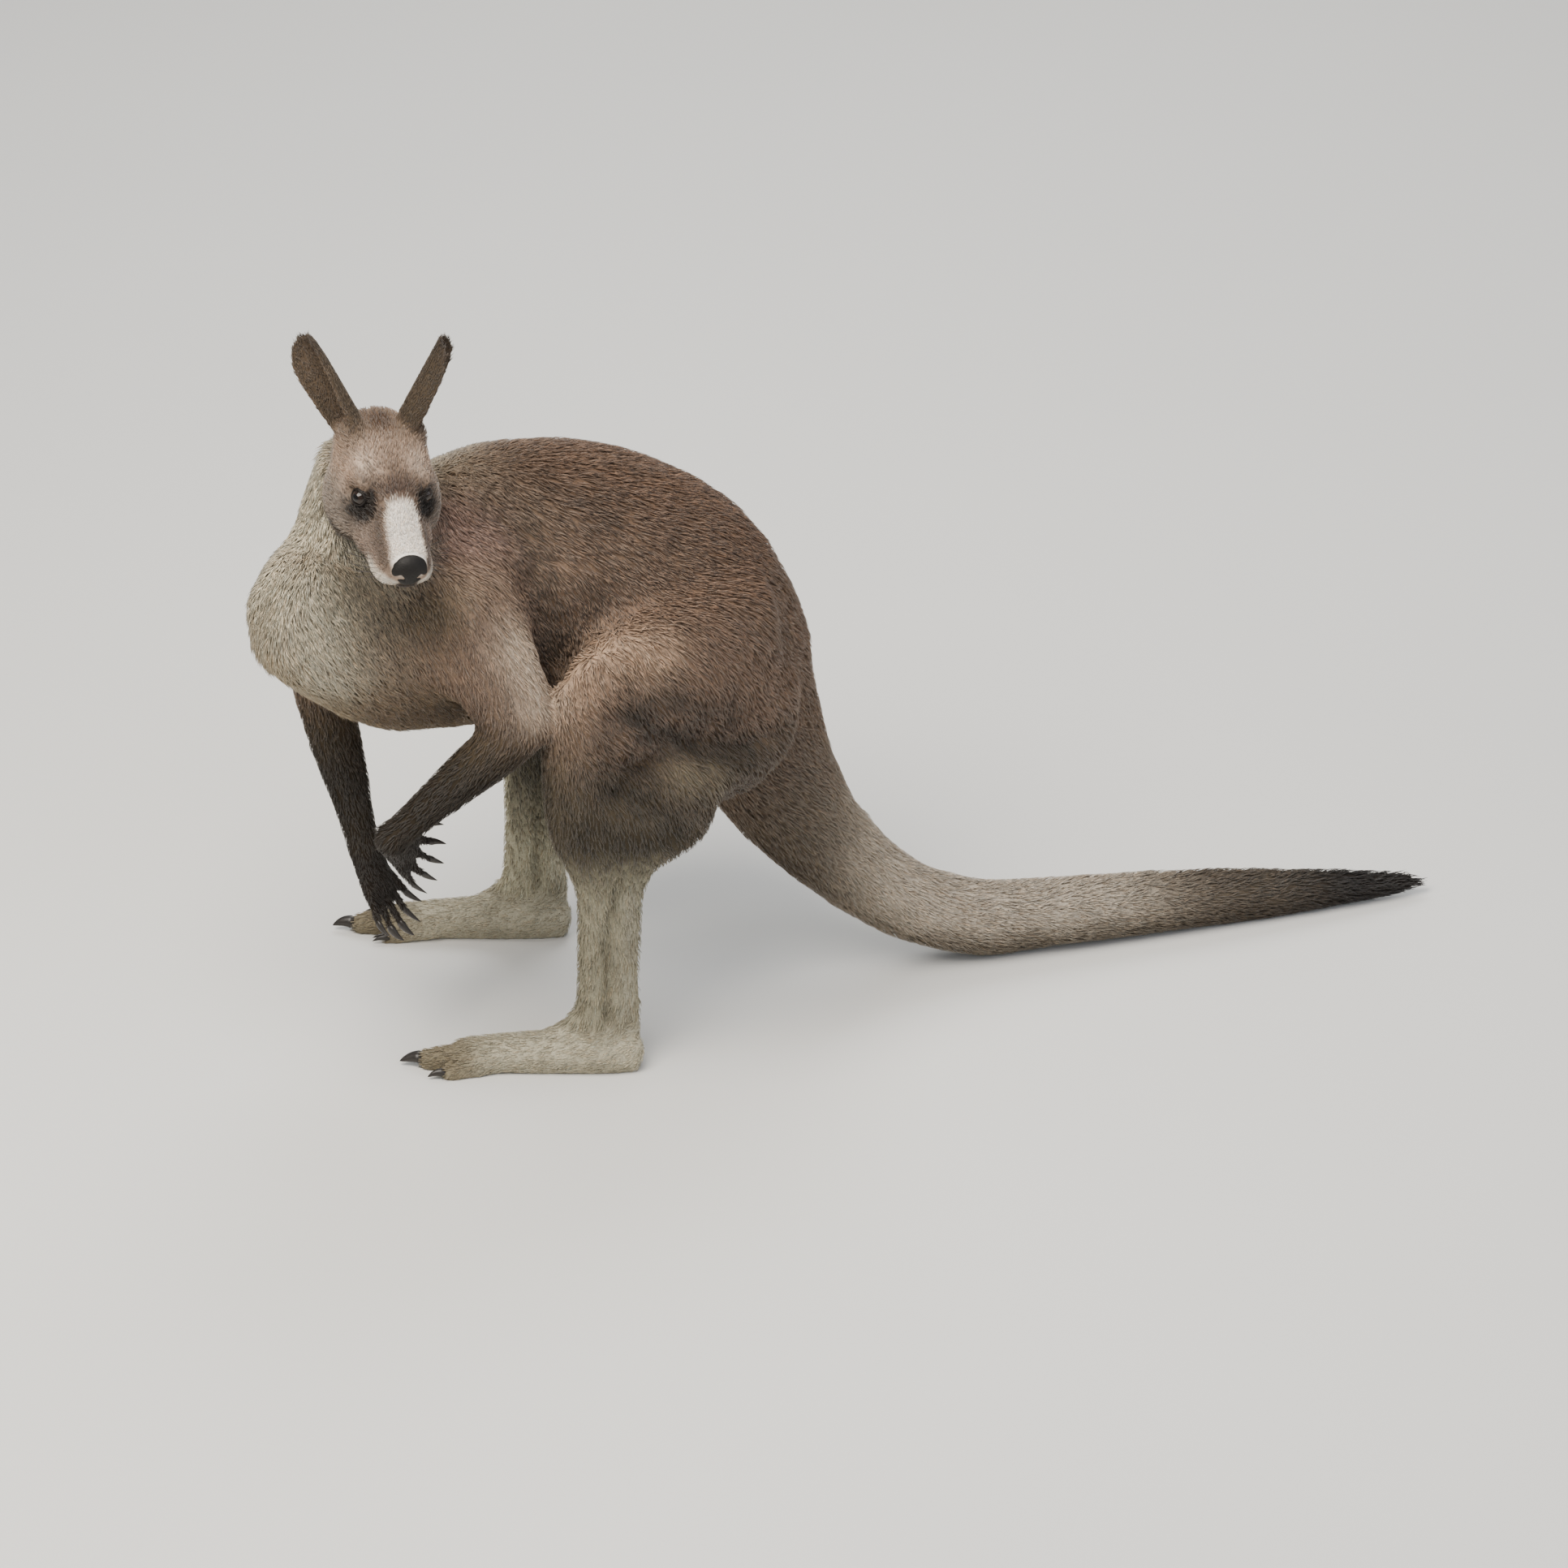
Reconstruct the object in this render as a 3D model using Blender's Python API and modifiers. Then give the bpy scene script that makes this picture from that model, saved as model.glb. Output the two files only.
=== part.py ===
"""Life-size still model of a large male grey kangaroo.

It stands on its hind feet and the bend of its tail, fore paws hanging, with its head turned to
its own left. The animal faces -X, its left side is -Y and +Z is up, in metres. Trunk, neck, tail and
legs are modelled whole: lofts and ellipsoids for the main muscles are fused by a voxel remesh,
smoothed, thinned to facets and then parted by thin flat cuts, one node for each part a person would
name. The head and each arm are made the same way apart from the body, which is cut to leave them room.
Ears, eyes and claws are solids of their own, set against the flesh.
"""

import math

import bmesh
import bpy
from mathutils import Matrix, Vector

# ---------------------------------------------------------------- driving sizes, in metres
GAP = 0.0003              # between neighbouring solids
BODY_VOXEL = 0.006
FINE_VOXEL = 0.003
FLESH_TRIANGLES = 2500
HEAD_TRIANGLES = 950
ARM_TRIANGLES = 560
HAND_WEIGHT = 0.45
FOOT_WEIGHT = 0.60
SOLE_FLAT = 0.004         # flesh lower than this is pressed flat on the floor
SOLE_SNAP = 0.001         # and facets that the cuts left this near it are set on it

FOOT_YAW = math.radians(16)   # the feet point this far to the right of the tail line
CHEST_YAW = math.radians(22)  # the chest turns this far to the animal's left
HEAD_ORIGIN = Vector((-0.330, -0.189, 0.946))   # midway between the eyes
HEAD_TURN = math.radians(90.5)  # from the body's -X towards its left
HEAD_DROP = math.radians(18)
HEAD_ROLL = math.radians(-6)
EYE_RADIUS = 0.0125
EYE_SPREAD = 0.0430       # each eye's centre from the middle of the head
EYE_FORWARD = 0.008
EAR_LENGTH = 0.145
EAR_HALF_WIDTH = 0.031
EAR_THICKNESS = 0.005
EAR_ROOT = {"left": Vector((-0.080, 0.036, 0.036)), "right": Vector((-0.080, 0.041, 0.036))}  # outwards +Y
EAR_LEAN = {"left": math.radians(8), "right": math.radians(38)}    # back from upright
EAR_SPLAY = {"left": math.radians(19), "right": math.radians(31)}  # outwards from upright
EAR_OPENING = math.radians(62)  # the way its hollow faces, from straight ahead

# ---------------------------------------------------------------- scene and mesh helpers


def clear_scene():
    for obj in list(bpy.data.objects):
        bpy.data.objects.remove(obj)


def collection(name):
    made = bpy.data.collections.new(name)
    bpy.context.scene.collection.children.link(made)
    return made


def mesh_object(name, bm, home):
    mesh = bpy.data.meshes.new(name)
    bm.to_mesh(mesh)
    bm.free()
    obj = bpy.data.objects.new(name, mesh)
    home.objects.link(obj)
    return obj


def evaluated_mesh(obj):
    bpy.context.view_layer.update()
    graph = bpy.context.evaluated_depsgraph_get()
    return bpy.data.meshes.new_from_object(obj.evaluated_get(graph))


def smooth_stations(stations, steps):
    """Catmull-Rom samples through stations, each a tuple of numbers."""
    rows = [Vector(s) for s in stations]
    rows = [2 * rows[0] - rows[1], *rows, 2 * rows[-1] - rows[-2]]
    out = []
    for a, b, c, d in zip(rows, rows[1:], rows[2:], rows[3:]):
        for k in range(steps):
            t = k / steps
            out.append(0.5 * (2 * b + (c - a) * t + (2 * a - 5 * b + 4 * c - d) * t ** 2
                              + (3 * b - a - 3 * c + d) * t ** 3))
    out.append(rows[-2])
    return out


def loft(bm, stations, side=(0, 1, 0), sides=24, steps=4, dome=0.8, place=None):
    """A closed tube through stations (x, y, z, half width, half height), its width along side."""
    rows = smooth_stations(stations, steps)
    centres = [Vector(r[:3]) for r in rows]
    rings = []
    last = len(rows) - 1
    dome_steps = (0.95, 0.75, 0.45)
    for i, row in enumerate(rows):
        tangent = (centres[min(i + 1, last)] - centres[max(i - 1, 0)]).normalized()
        across = (Vector(side) - Vector(side).dot(tangent) * tangent).normalized()
        up = tangent.cross(across)
        width, height = row[3], row[4]
        ends = [(0.0, 1.0)]
        if i in (0, last):
            sign = -1 if i == 0 else 1
            reach = dome * min(width, height) * sign
            cap = [(reach * math.cos(math.asin(s)), s) for s in dome_steps]
            ends = cap[::-1] + ends if i == 0 else ends + cap
        for along, scale in ends:
            ring = []
            for k in range(sides):
                a = 2 * math.pi * k / sides
                ring.append(bm.verts.new(centres[i] + tangent * along
                                         + across * width * scale * math.cos(a)
                                         + up * height * scale * math.sin(a)))
            rings.append(ring)
    for one, two in zip(rings, rings[1:]):
        for k in range(sides):
            n = (k + 1) % sides
            bm.faces.new((one[k], one[n], two[n], two[k]))
    bm.faces.new(rings[0][::-1])
    bm.faces.new(rings[-1])
    if place:
        bmesh.ops.transform(bm, matrix=place, verts=[v for r in rings for v in r])


def ball(bm, centre, radii, turn=(0, 0, 0), place=None, segments=24):
    """An ellipsoid with its half axes in radii, turned by Euler degrees about its centre."""
    made = bmesh.ops.create_uvsphere(bm, u_segments=segments, v_segments=segments // 2, radius=1)
    spin = Matrix.Rotation(math.radians(turn[2]), 4, "Z") @ Matrix.Rotation(
        math.radians(turn[1]), 4, "Y") @ Matrix.Rotation(math.radians(turn[0]), 4, "X")
    matrix = Matrix.Translation(centre) @ spin @ Matrix.Diagonal((*radii, 1))
    bmesh.ops.transform(bm, matrix=(place or Matrix()) @ matrix, verts=made["verts"])


def guide(name, mesh, home):
    """A helper object, never part of the model."""
    obj = bpy.data.objects.new(name, mesh)
    obj.hide_render = True
    obj.display_type = "WIRE"
    home.objects.link(obj)
    return obj


def fuse(name, bm, voxel, smoothing, home):
    """One closed skin round every shape in bm."""
    bmesh.ops.recalc_face_normals(bm, faces=bm.faces)
    obj = mesh_object(name, bm, home)
    remesh = obj.modifiers.new("fuse", "REMESH")
    remesh.mode = "VOXEL"
    remesh.voxel_size = voxel
    if smoothing:
        soften = obj.modifiers.new("soften", "SMOOTH")
        soften.factor = 0.5
        soften.iterations = smoothing
    obj.hide_render = True
    obj.display_type = "WIRE"
    return evaluated_mesh(obj)


# ---------------------------------------------------------------- the flesh
# Each station is (x, y, z, half width, half depth).

TRUNK = (
    (0.250, 0.000, 0.330, 0.080, 0.086),
    (0.208, 0.000, 0.430, 0.105, 0.108),
    (0.158, 0.000, 0.530, 0.138, 0.147),
    (0.078, 0.000, 0.620, 0.158, 0.182),
    (-0.035, 0.000, 0.680, 0.162, 0.192),
    (-0.150, -0.020, 0.698, 0.146, 0.202),
    (-0.260, -0.055, 0.700, 0.128, 0.194),
    (-0.350, -0.095, 0.714, 0.120, 0.164),
    (-0.432, -0.130, 0.746, 0.099, 0.106),
)
NECK = (
    (-0.365, -0.070, 0.730, 0.120, 0.120),
    (-0.358, -0.075, 0.800, 0.100, 0.096),
    (-0.352, -0.078, 0.870, 0.084, 0.076),
    (-0.350, -0.092, 0.930, 0.074, 0.060),
)
TAIL = (
    (0.215, 0.000, 0.400, 0.092, 0.098),
    (0.262, 0.000, 0.305, 0.082, 0.086),
    (0.320, 0.000, 0.218, 0.068, 0.070),
    (0.390, 0.000, 0.142, 0.060, 0.060),
    (0.475, 0.000, 0.084, 0.055, 0.056),
    (0.570, 0.000, 0.056, 0.052, 0.053),
    (0.710, 0.000, 0.048, 0.048, 0.049),
    (0.860, 0.000, 0.042, 0.042, 0.043),
    (1.000, 0.000, 0.034, 0.033, 0.034),
    (1.115, 0.000, 0.026, 0.023, 0.024),
    (1.195, 0.000, 0.021, 0.014, 0.015),
)
LEGS = {  # knee and ankle of each leg
    "left": (Vector((-0.082, -0.205, 0.540)), Vector((-0.044, -0.172, 0.050)), -1),
    "right": (Vector((-0.086, 0.215, 0.540)), Vector((-0.050, 0.218, 0.050)), 1),
}


def add_thigh(bm, knee):
    x, y, z = knee
    loft(bm, (
        (0.155, 0.50 * y, 0.590, 0.085, 0.132),
        (0.080, 0.68 * y, 0.600, 0.090, 0.126),
        (0.000, 0.88 * y, 0.592, 0.080, 0.106),
        (-0.055, 0.98 * y, 0.570, 0.064, 0.084),
        (x - 0.004, y, z - 0.005, 0.050, 0.060),
    ))
    ball(bm, (0.150, 0.52 * y, 0.490), (0.105, 0.078, 0.130), (0, 25, 0))
    ball(bm, (0.070, 0.80 * y, 0.490), (0.120, 0.062, 0.085), (0, 15, 0))


def add_shank(bm, knee, ankle):
    def at(height, back, width, depth):
        t = (knee.z - height) / (knee.z - ankle.z)
        mid = knee.lerp(ankle, t)
        return (ankle.x + back, mid.y, height, width, depth)

    loft(bm, (
        at(0.545, -0.036, 0.052, 0.054),
        at(0.470, -0.028, 0.055, 0.058),
        at(0.400, -0.020, 0.050, 0.060),
        at(0.340, -0.008, 0.040, 0.046),
        at(0.290, -0.002, 0.032, 0.038),
        at(0.200, -0.001, 0.028, 0.036),
        at(0.110, 0.000, 0.029, 0.037),
        at(0.050, 0.002, 0.032, 0.036),
    ))
    middle = knee.lerp(ankle, 0.25)
    ball(bm, (0.016, middle.y, 0.415), (0.110, 0.056, 0.090), (0, -28, 0))
    loft(bm, (  # the tendon down to the heel
        at(0.370, 0.078, 0.026, 0.026),
        at(0.290, 0.050, 0.015, 0.016),
        at(0.190, 0.044, 0.012, 0.013),
        at(0.090, 0.043, 0.015, 0.016),
        at(0.040, 0.034, 0.025, 0.024),
    ), sides=16)


def foot_place(ankle):
    return Matrix.Translation((ankle.x, ankle.y, 0)) @ Matrix.Rotation(-FOOT_YAW, 4, "Z")


TOES = {  # root, tip and radii of each toe, with its inner side towards the other foot
    "long": ((-0.180, 0.002, 0.018), (-0.242, 0.002, 0.013), 0.021, 0.015),
    "outer": ((-0.160, 0.022, 0.015), (-0.212, 0.034, 0.009), 0.014, 0.010),
    "inner": ((-0.130, -0.024, 0.015), (-0.200, -0.031, 0.008), 0.010, 0.008),
}


def add_foot(bm, ankle, sign):
    place = foot_place(ankle)
    loft(bm, (
        (0.042, 0.000, 0.024, 0.024, 0.028),
        (0.004, 0.000, 0.031, 0.032, 0.035),
        (-0.055, 0.000, 0.027, 0.032, 0.031),
        (-0.125, 0.000, 0.023, 0.031, 0.027),
        (-0.170, 0.000, 0.020, 0.033, 0.024),
        (-0.195, 0.002, 0.018, 0.028, 0.021),
    ), place=place)
    loft(bm, (  # instep
        (-0.006, 0, 0.120, 0.022, 0.026),
        (-0.018, 0, 0.082, 0.024, 0.026),
        (-0.042, 0, 0.052, 0.025, 0.024),
        (-0.085, 0, 0.032, 0.024, 0.020),
    ), place=place)
    for root, tip, thick, thin in TOES.values():
        root = Vector((root[0], sign * root[1], root[2]))
        tip = Vector((tip[0], sign * tip[1], tip[2]))
        loft(bm, (
            station(root, thick, thick),
            station(along(root, tip, 0.6), 0.5 * (thick + thin), 0.5 * (thick + thin)),
            station(tip, thin, thin),
        ), place=place, sides=16)


CHEST_LEFT = Vector((math.sin(CHEST_YAW), -math.cos(CHEST_YAW), 0))
ARMS = {  # shoulder, elbow, wrist, the way that the hand points and the way its palm faces
    "left": (Vector((-0.240, -0.175, 0.765)), Vector((-0.156, -0.207, 0.573)),
             Vector((-0.342, -0.205, 0.424)), Vector((0.36, 0.68, -0.62)), Vector((0.65, -0.25, -0.15))),
    "right": (Vector((-0.370, 0.045, 0.715)), Vector((-0.379, 0.045, 0.530)),
              Vector((-0.332, 0.020, 0.290)), Vector((0.20, -0.10, -1.0)), Vector((0.75, -0.65, 0.2))),
}


def along(a, b, t):
    return a + (b - a) * t


def station(point, width, depth):
    return (*point, width, depth)


def add_arm(name, bm):
    shoulder, elbow, wrist = ARMS[name][:3]
    loft(bm, (
        station(along(shoulder, elbow, -0.10), 0.060, 0.080),
        station(along(shoulder, elbow, 0.35), 0.058, 0.078),
        station(along(shoulder, elbow, 0.75), 0.050, 0.064),
        station(along(shoulder, elbow, 1.00), 0.042, 0.050),
    ), side=CHEST_LEFT)
    loft(bm, (
        station(along(elbow, wrist, -0.04), 0.035, 0.040),
        station(along(elbow, wrist, 0.20), 0.036, 0.041),
        station(along(elbow, wrist, 0.55), 0.029, 0.032),
        station(along(elbow, wrist, 0.85), 0.024, 0.025),
        station(wrist, 0.024, 0.023),
    ), side=CHEST_LEFT)


def hand_place(name):
    """From the hand's own frame, fingers along +X, palm down -Z, to the world."""
    wrist, point, palm = ARMS[name][2:]
    forward = point.normalized()
    up = -(palm - palm.dot(forward) * forward).normalized()
    turn = Matrix((forward, up.cross(forward), up)).transposed().to_4x4()
    return Matrix.Translation(wrist) @ turn


FINGERS = (  # sideways at its root, degrees outwards and length of each finger
    (-0.0220, -18, 0.043), (-0.0115, -8, 0.060), (0.0, 0, 0.066), (0.0115, 8, 0.060), (0.0220, 18, 0.043))
PALM = 0.066
FINGER_RADIUS = 0.0083
FINGER_DROOP = 0.30


def finger_rays():
    """Each finger's root, tip and way along, in the hand's own frame."""
    for aside, degrees, length in FINGERS:
        a = math.radians(degrees)
        way = Vector((math.cos(a), math.sin(a), -FINGER_DROOP)).normalized()
        root = Vector((0.5 * PALM, aside, 0))
        yield root, root + way * (0.45 * PALM + length), way


def add_hand(name, bm):
    place = hand_place(name)
    loft(bm, (
        (-0.014, 0, 0.000, 0.024, 0.022),
        (0.018, 0, -0.002, 0.029, 0.020),
        (PALM, 0, -0.007, 0.033, 0.016),
    ), place=place)
    for root, tip, _ in finger_rays():
        loft(bm, (
            station(root, FINGER_RADIUS, FINGER_RADIUS),
            station(along(root, tip, 0.6), 0.9 * FINGER_RADIUS, 0.9 * FINGER_RADIUS),
            station(tip, 0.75 * FINGER_RADIUS, 0.75 * FINGER_RADIUS),
        ), side=(0, 0, 1), sides=12, place=place)


def head_place():
    """From the head's own frame, muzzle along +X, left +Y, crown +Z, to the world."""
    turn = (Matrix.Rotation(math.pi + HEAD_TURN, 4, "Z") @ Matrix.Rotation(HEAD_DROP, 4, "Y")
            @ Matrix.Rotation(HEAD_ROLL, 4, "X"))
    return Matrix.Translation(HEAD_ORIGIN) @ turn


def add_head(bm):
    place = head_place()
    loft(bm, (  # skull and muzzle
        (-0.110, 0, -0.004, 0.055, 0.049),
        (-0.062, 0, -0.003, 0.068, 0.056),
        (-0.020, 0, -0.010, 0.061, 0.054),
        (0.020, 0, -0.020, 0.046, 0.046),
        (0.060, 0, -0.025, 0.038, 0.039),
        (0.095, 0, -0.029, 0.034, 0.034),
        (0.120, 0, -0.033, 0.030, 0.029),
    ), place=place, dome=0.6)
    for sign in (-1, 1):
        ball(bm, (-0.028, sign * 0.047, -0.038), (0.062, 0.033, 0.048), (0, 12, 0), place)
        ball(bm, (-0.006, sign * 0.040, 0.015), (0.032, 0.016, 0.016), (0, 0, sign * 12), place)
        ball(bm, (0.034, sign * 0.032, -0.043), (0.046, 0.022, 0.027), place=place)
        ball(bm, (0.078, sign * 0.022, -0.048), (0.046, 0.022, 0.023), place=place)
        ball(bm, (-0.077, sign * 0.037, 0.026), (0.030, 0.028, 0.028), place=place)
    loft(bm, (  # lower jaw
        (-0.040, 0, -0.060, 0.050, 0.034),
        (0.020, 0, -0.064, 0.036, 0.026),
        (0.070, 0, -0.064, 0.026, 0.019),
        (0.102, 0, -0.062, 0.020, 0.014),
    ), place=place)


def flesh_mesh(home):
    """The flesh of the whole animal but its head and arms, as one dense closed mesh."""
    body = bmesh.new()
    for stations in (TRUNK, NECK, TAIL):
        loft(body, stations, sides=32, steps=6)
    for knee, ankle, _ in LEGS.values():
        add_thigh(body, knee)
        add_shank(body, knee, ankle)
    fine = bmesh.new()
    for knee, ankle, sign in LEGS.values():
        add_foot(fine, ankle, sign)
    fine.from_mesh(fuse("guide_body", body, BODY_VOXEL, 24, home))
    return fuse("guide_flesh", fine, FINE_VOXEL, 3, home)


def head_mesh(home):
    bm = bmesh.new()
    add_head(bm)
    return fuse("guide_head", bm, FINE_VOXEL, 24, home)


def arm_mesh(name, home):
    bm = bmesh.new()
    add_arm(name, bm)
    add_hand(name, bm)
    return fuse("guide_arm_" + name, bm, FINE_VOXEL, 6, home)


# ---------------------------------------------------------------- parting the flesh into named nodes


def island_of(bm, part, point):
    near = min(bm.faces, key=lambda f: (f.calc_center_median() - point).length_squared)
    return near[part]


def nearest_ring(rim, point):
    """The closed ring of cut edges that lies round the point."""
    left = set(rim)
    rings = []
    while left:
        ring = {left.pop()}
        spread = list(ring)
        while spread:
            for vert in spread.pop().verts:
                joined = [e for e in vert.link_edges if e in left]
                left.difference_update(joined)
                ring.update(joined)
                spread += joined
        verts = [v for e in ring for v in e.verts]
        if len(verts) == 2 * len(set(verts)):
            centre = sum((v.co for v in verts), Vector()) / len(verts)
            rings.append(((centre - point).length, len(rings), ring))
    return list(min(rings)[2])


def split_off(bm, part, number, point, outward, reach):
    """Cut the flesh nearest point by a flat plane; the piece that lies outward takes the number."""
    point = Vector(point)
    outward = Vector(outward).normalized()
    root = island_of(bm, part, point)
    geom = set()
    for face in bm.faces:
        if face[part] == root and min((v.co - point).length for v in face.verts) < reach:
            geom.update((face, *face.edges, *face.verts))
    cut = bmesh.ops.bisect_plane(bm, geom=list(geom), dist=1e-5, plane_co=point, plane_no=outward)
    rim = [e for e in cut["geom_cut"] if isinstance(e, bmesh.types.BMEdge)]
    ring = nearest_ring(rim, point)
    stray = list(set(rim) - set(ring))
    bmesh.ops.split_edges(bm, edges=ring)
    bmesh.ops.dissolve_edges(bm, edges=stray, use_verts=True)
    open_edges = [e for e in bm.edges if e.is_boundary]
    for sign in (-1, 1):
        edges = [e for e in open_edges
                 if (e.link_faces[0].calc_center_median() - point).dot(outward) * sign > 0]
        for vert in {v for e in edges for v in e.verts}:
            vert.co += outward * sign * GAP / 2
        caps = bmesh.ops.edgeloop_fill(bm, edges=edges)["faces"]
        caps = bmesh.ops.triangulate(bm, faces=caps)["faces"]
        for cap in caps:
            cap[part] = root
        if sign == 1:
            spread_number(caps[0], part, number)
    bmesh.ops.recalc_face_normals(bm, faces=bm.faces)


def spread_number(face, part, number):
    """Give the number to every face joined to this one."""
    spread = [face]
    face[part] = number
    while spread:
        for edge in spread.pop().edges:
            for other in edge.link_faces:
                if other[part] != number:
                    other[part] = number
                    spread.append(other)


def body_cuts():
    """(name, point on the cut, the way outwards, reach), from the root of each limb to its tip."""
    yield "tail_base", (0.250, 0, 0.330), (0.5, 0, -0.87), 0.20
    yield "tail_bend", (0.475, 0, 0.084), (1, 0, -0.3), 1
    yield "tail_middle", (0.740, 0, 0.048), (1, 0, 0), 1
    yield "tail_tip", (0.985, 0, 0.036), (1, 0, 0), 1
    yield "neck", (-0.352, -0.070, 0.795), (-0.45, 0, 0.89), 0.30
    yield "chest", (-0.140, -0.015, 0.700), (-1, 0, 0), 0.26
    for name, (knee, ankle, sign) in LEGS.items():
        yield "shank_" + name, (-0.02, knee.y, 0.462), (-0.55, 0, -0.835), 0.26
        yield "foot_" + name, (ankle.x, ankle.y, 0.078), (0, 0, -1), 0.09
        yield "thigh_" + name, (0, sign * 0.105, 0.5), (-0.08, sign, -0.22), 0.50


def arm_cuts(name):
    shoulder, elbow, wrist, point = ARMS[name][:4]
    yield "forearm_" + name, elbow, (wrist - elbow).normalized() + (elbow - shoulder).normalized(), 0.1
    yield "hand_" + name, wrist, (wrist - elbow).normalized() + point.normalized(), 0.07


def parted(dense, root_name, cuts, home):
    """One object for each piece of flesh."""
    bm = bmesh.new()
    bm.from_mesh(dense)
    part = bm.faces.layers.int.new("part")
    names = [root_name]
    for name, point, outward, reach in cuts:
        split_off(bm, part, len(names), point, outward, reach)
        names.append(name)
    made = {}
    for number, name in enumerate(names):
        piece = bm.copy()
        layer = piece.faces.layers.int["part"]
        others = [f for f in piece.faces if f[layer] != number]
        bmesh.ops.delete(piece, geom=others, context="FACES")
        piece.faces.layers.int.remove(layer)
        made[name] = mesh_object(name, piece, home)
        keep_largest(made[name])
    bm.free()
    return made


def thinned(name, dense, triangles, home):
    """The dense flesh with its soles pressed flat, thinned to facets."""
    for vert in dense.vertices:
        if vert.co.z < SOLE_FLAT:
            vert.co.z = 0
    obj = guide(name, dense, home)
    group = obj.vertex_groups.new(name="plain")
    for vert in dense.vertices:
        weight = 1.0
        if vert.co.z < 0.1 and vert.co.x < 0.1:
            weight = FOOT_WEIGHT
        elif any((vert.co - wrist - 0.07 * point.normalized()).length < 0.09
                 for _, _, wrist, point, _ in ARMS.values()):
            weight = HAND_WEIGHT
        group.add([vert.index], weight, "REPLACE")
    thin = obj.modifiers.new("thin", "DECIMATE")
    thin.ratio = triangles / (2 * len(dense.vertices))
    thin.vertex_group = group.name
    thin.use_collapse_triangulate = True
    return evaluated_mesh(obj)


def room_for(cutter_mesh, name, home):
    """A guide a gap larger than the piece, to cut the room for it in a neighbour."""
    bm = bmesh.new()
    bm.from_mesh(cutter_mesh)
    bmesh.ops.recalc_face_normals(bm, faces=bm.faces)
    bm.normal_update()
    moves = [(v, v.normal.copy()) for v in bm.verts]
    for vert, way in moves:
        vert.co += way * 1.5 * GAP
    mesh = bpy.data.meshes.new(name)
    bm.to_mesh(mesh)
    bm.free()
    return guide(name, mesh, home)


def make_room(pieces, mesh, name, hosts, home):
    cutter = room_for(mesh, "guide_room_" + name, home)
    for host in hosts:
        booled(pieces[host], cutter, "DIFFERENCE")
        keep_largest(pieces[host])


def booled(obj, cutter, operation):
    """The object's mesh replaced by its Boolean with the cutter."""
    cut = obj.modifiers.new("cut", "BOOLEAN")
    cut.operation = operation
    cut.solver = "EXACT"
    cut.object = cutter
    made = evaluated_mesh(obj)
    obj.modifiers.remove(cut)
    obj.data = made


def keep_largest(obj):
    """Drop any crumb that a cut left beside the piece."""
    bm = bmesh.new()
    bm.from_mesh(obj.data)
    left = set(bm.verts)
    islands = []
    while left:
        island = [left.pop()]
        for vert in island:
            for edge in vert.link_edges:
                other = edge.other_vert(vert)
                if other in left:
                    left.remove(other)
                    island.append(other)
        islands.append(island)
    islands.sort(key=len)
    for island in islands[:-1]:
        bmesh.ops.delete(bm, geom=island, context="VERTS")
    bm.to_mesh(obj.data)
    bm.free()


# ---------------------------------------------------------------- ears, eyes and claws

EAR_FOLDS = 8
EAR_OUTLINE = (  # height, half width and half angle of the cup, from root to tip
    (-0.02, 0.64, 2.5), (0.14, 0.69, 2.2), (0.36, 0.80, 1.9), (0.58, 0.92, 1.65),
    (0.76, 0.96, 1.5), (0.89, 0.82, 1.4), (0.96, 0.58, 1.3), (1.00, 0.24, 1.2))


def ear(side, sign, room, home):
    """A deep leaf-shaped cup, set on the crown."""
    lean = Matrix.Rotation(-EAR_LEAN[side], 4, "Y")
    splay = Matrix.Rotation(-sign * EAR_SPLAY[side], 4, "X")
    face = Matrix.Rotation(sign * EAR_OPENING, 4, "Z")
    root = Matrix.Translation(EAR_ROOT[side] * Vector((1, sign, 1)))
    place = head_place() @ root @ lean @ splay @ face
    root_radius = EAR_HALF_WIDTH * EAR_OUTLINE[0][1]
    bm = bmesh.new()
    rows = []
    for height, width, spread in EAR_OUTLINE:
        radius = EAR_HALF_WIDTH * width
        row = []
        for k in range(EAR_FOLDS + 1):
            a = math.pi + spread * (2 * k / EAR_FOLDS - 1)
            point = Vector((radius * (1 + math.cos(a)) - root_radius, radius * math.sin(a),
                            EAR_LENGTH * height))
            row.append(bm.verts.new(point))
        rows.append(row)
    for one, two in zip(rows, rows[1:]):
        for k in range(EAR_FOLDS):
            bm.faces.new((one[k], one[k + 1], two[k + 1], two[k]))
    bmesh.ops.transform(bm, matrix=place, verts=bm.verts)
    obj = mesh_object("ear_" + side, bm, home)
    thick = obj.modifiers.new("thick", "SOLIDIFY")
    thick.thickness = EAR_THICKNESS
    thick.offset = 0
    obj.data = evaluated_mesh(obj)
    obj.modifiers.clear()
    booled(obj, room, "DIFFERENCE")
    keep_largest(obj)
    return obj


EYE_SEGMENTS = 12


def eye(name, sign, head, guides, home):
    """An eyeball, and its socket in the head."""
    centre = head_place() @ Vector((EYE_FORWARD, sign * EYE_SPREAD, 0))
    socket = bmesh.new()
    ball(socket, centre, [EYE_RADIUS + GAP] * 3, segments=EYE_SEGMENTS)
    cutter = mesh_object("guide_" + name, socket, guides)
    cutter.hide_render = True
    cutter.display_type = "WIRE"
    booled(head, cutter, "DIFFERENCE")
    bm = bmesh.new()
    ball(bm, centre, [EYE_RADIUS] * 3, segments=EYE_SEGMENTS)
    return mesh_object(name, bm, home)


CLAW_SIDES = 6
CLAW_STEPS = 3


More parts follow.
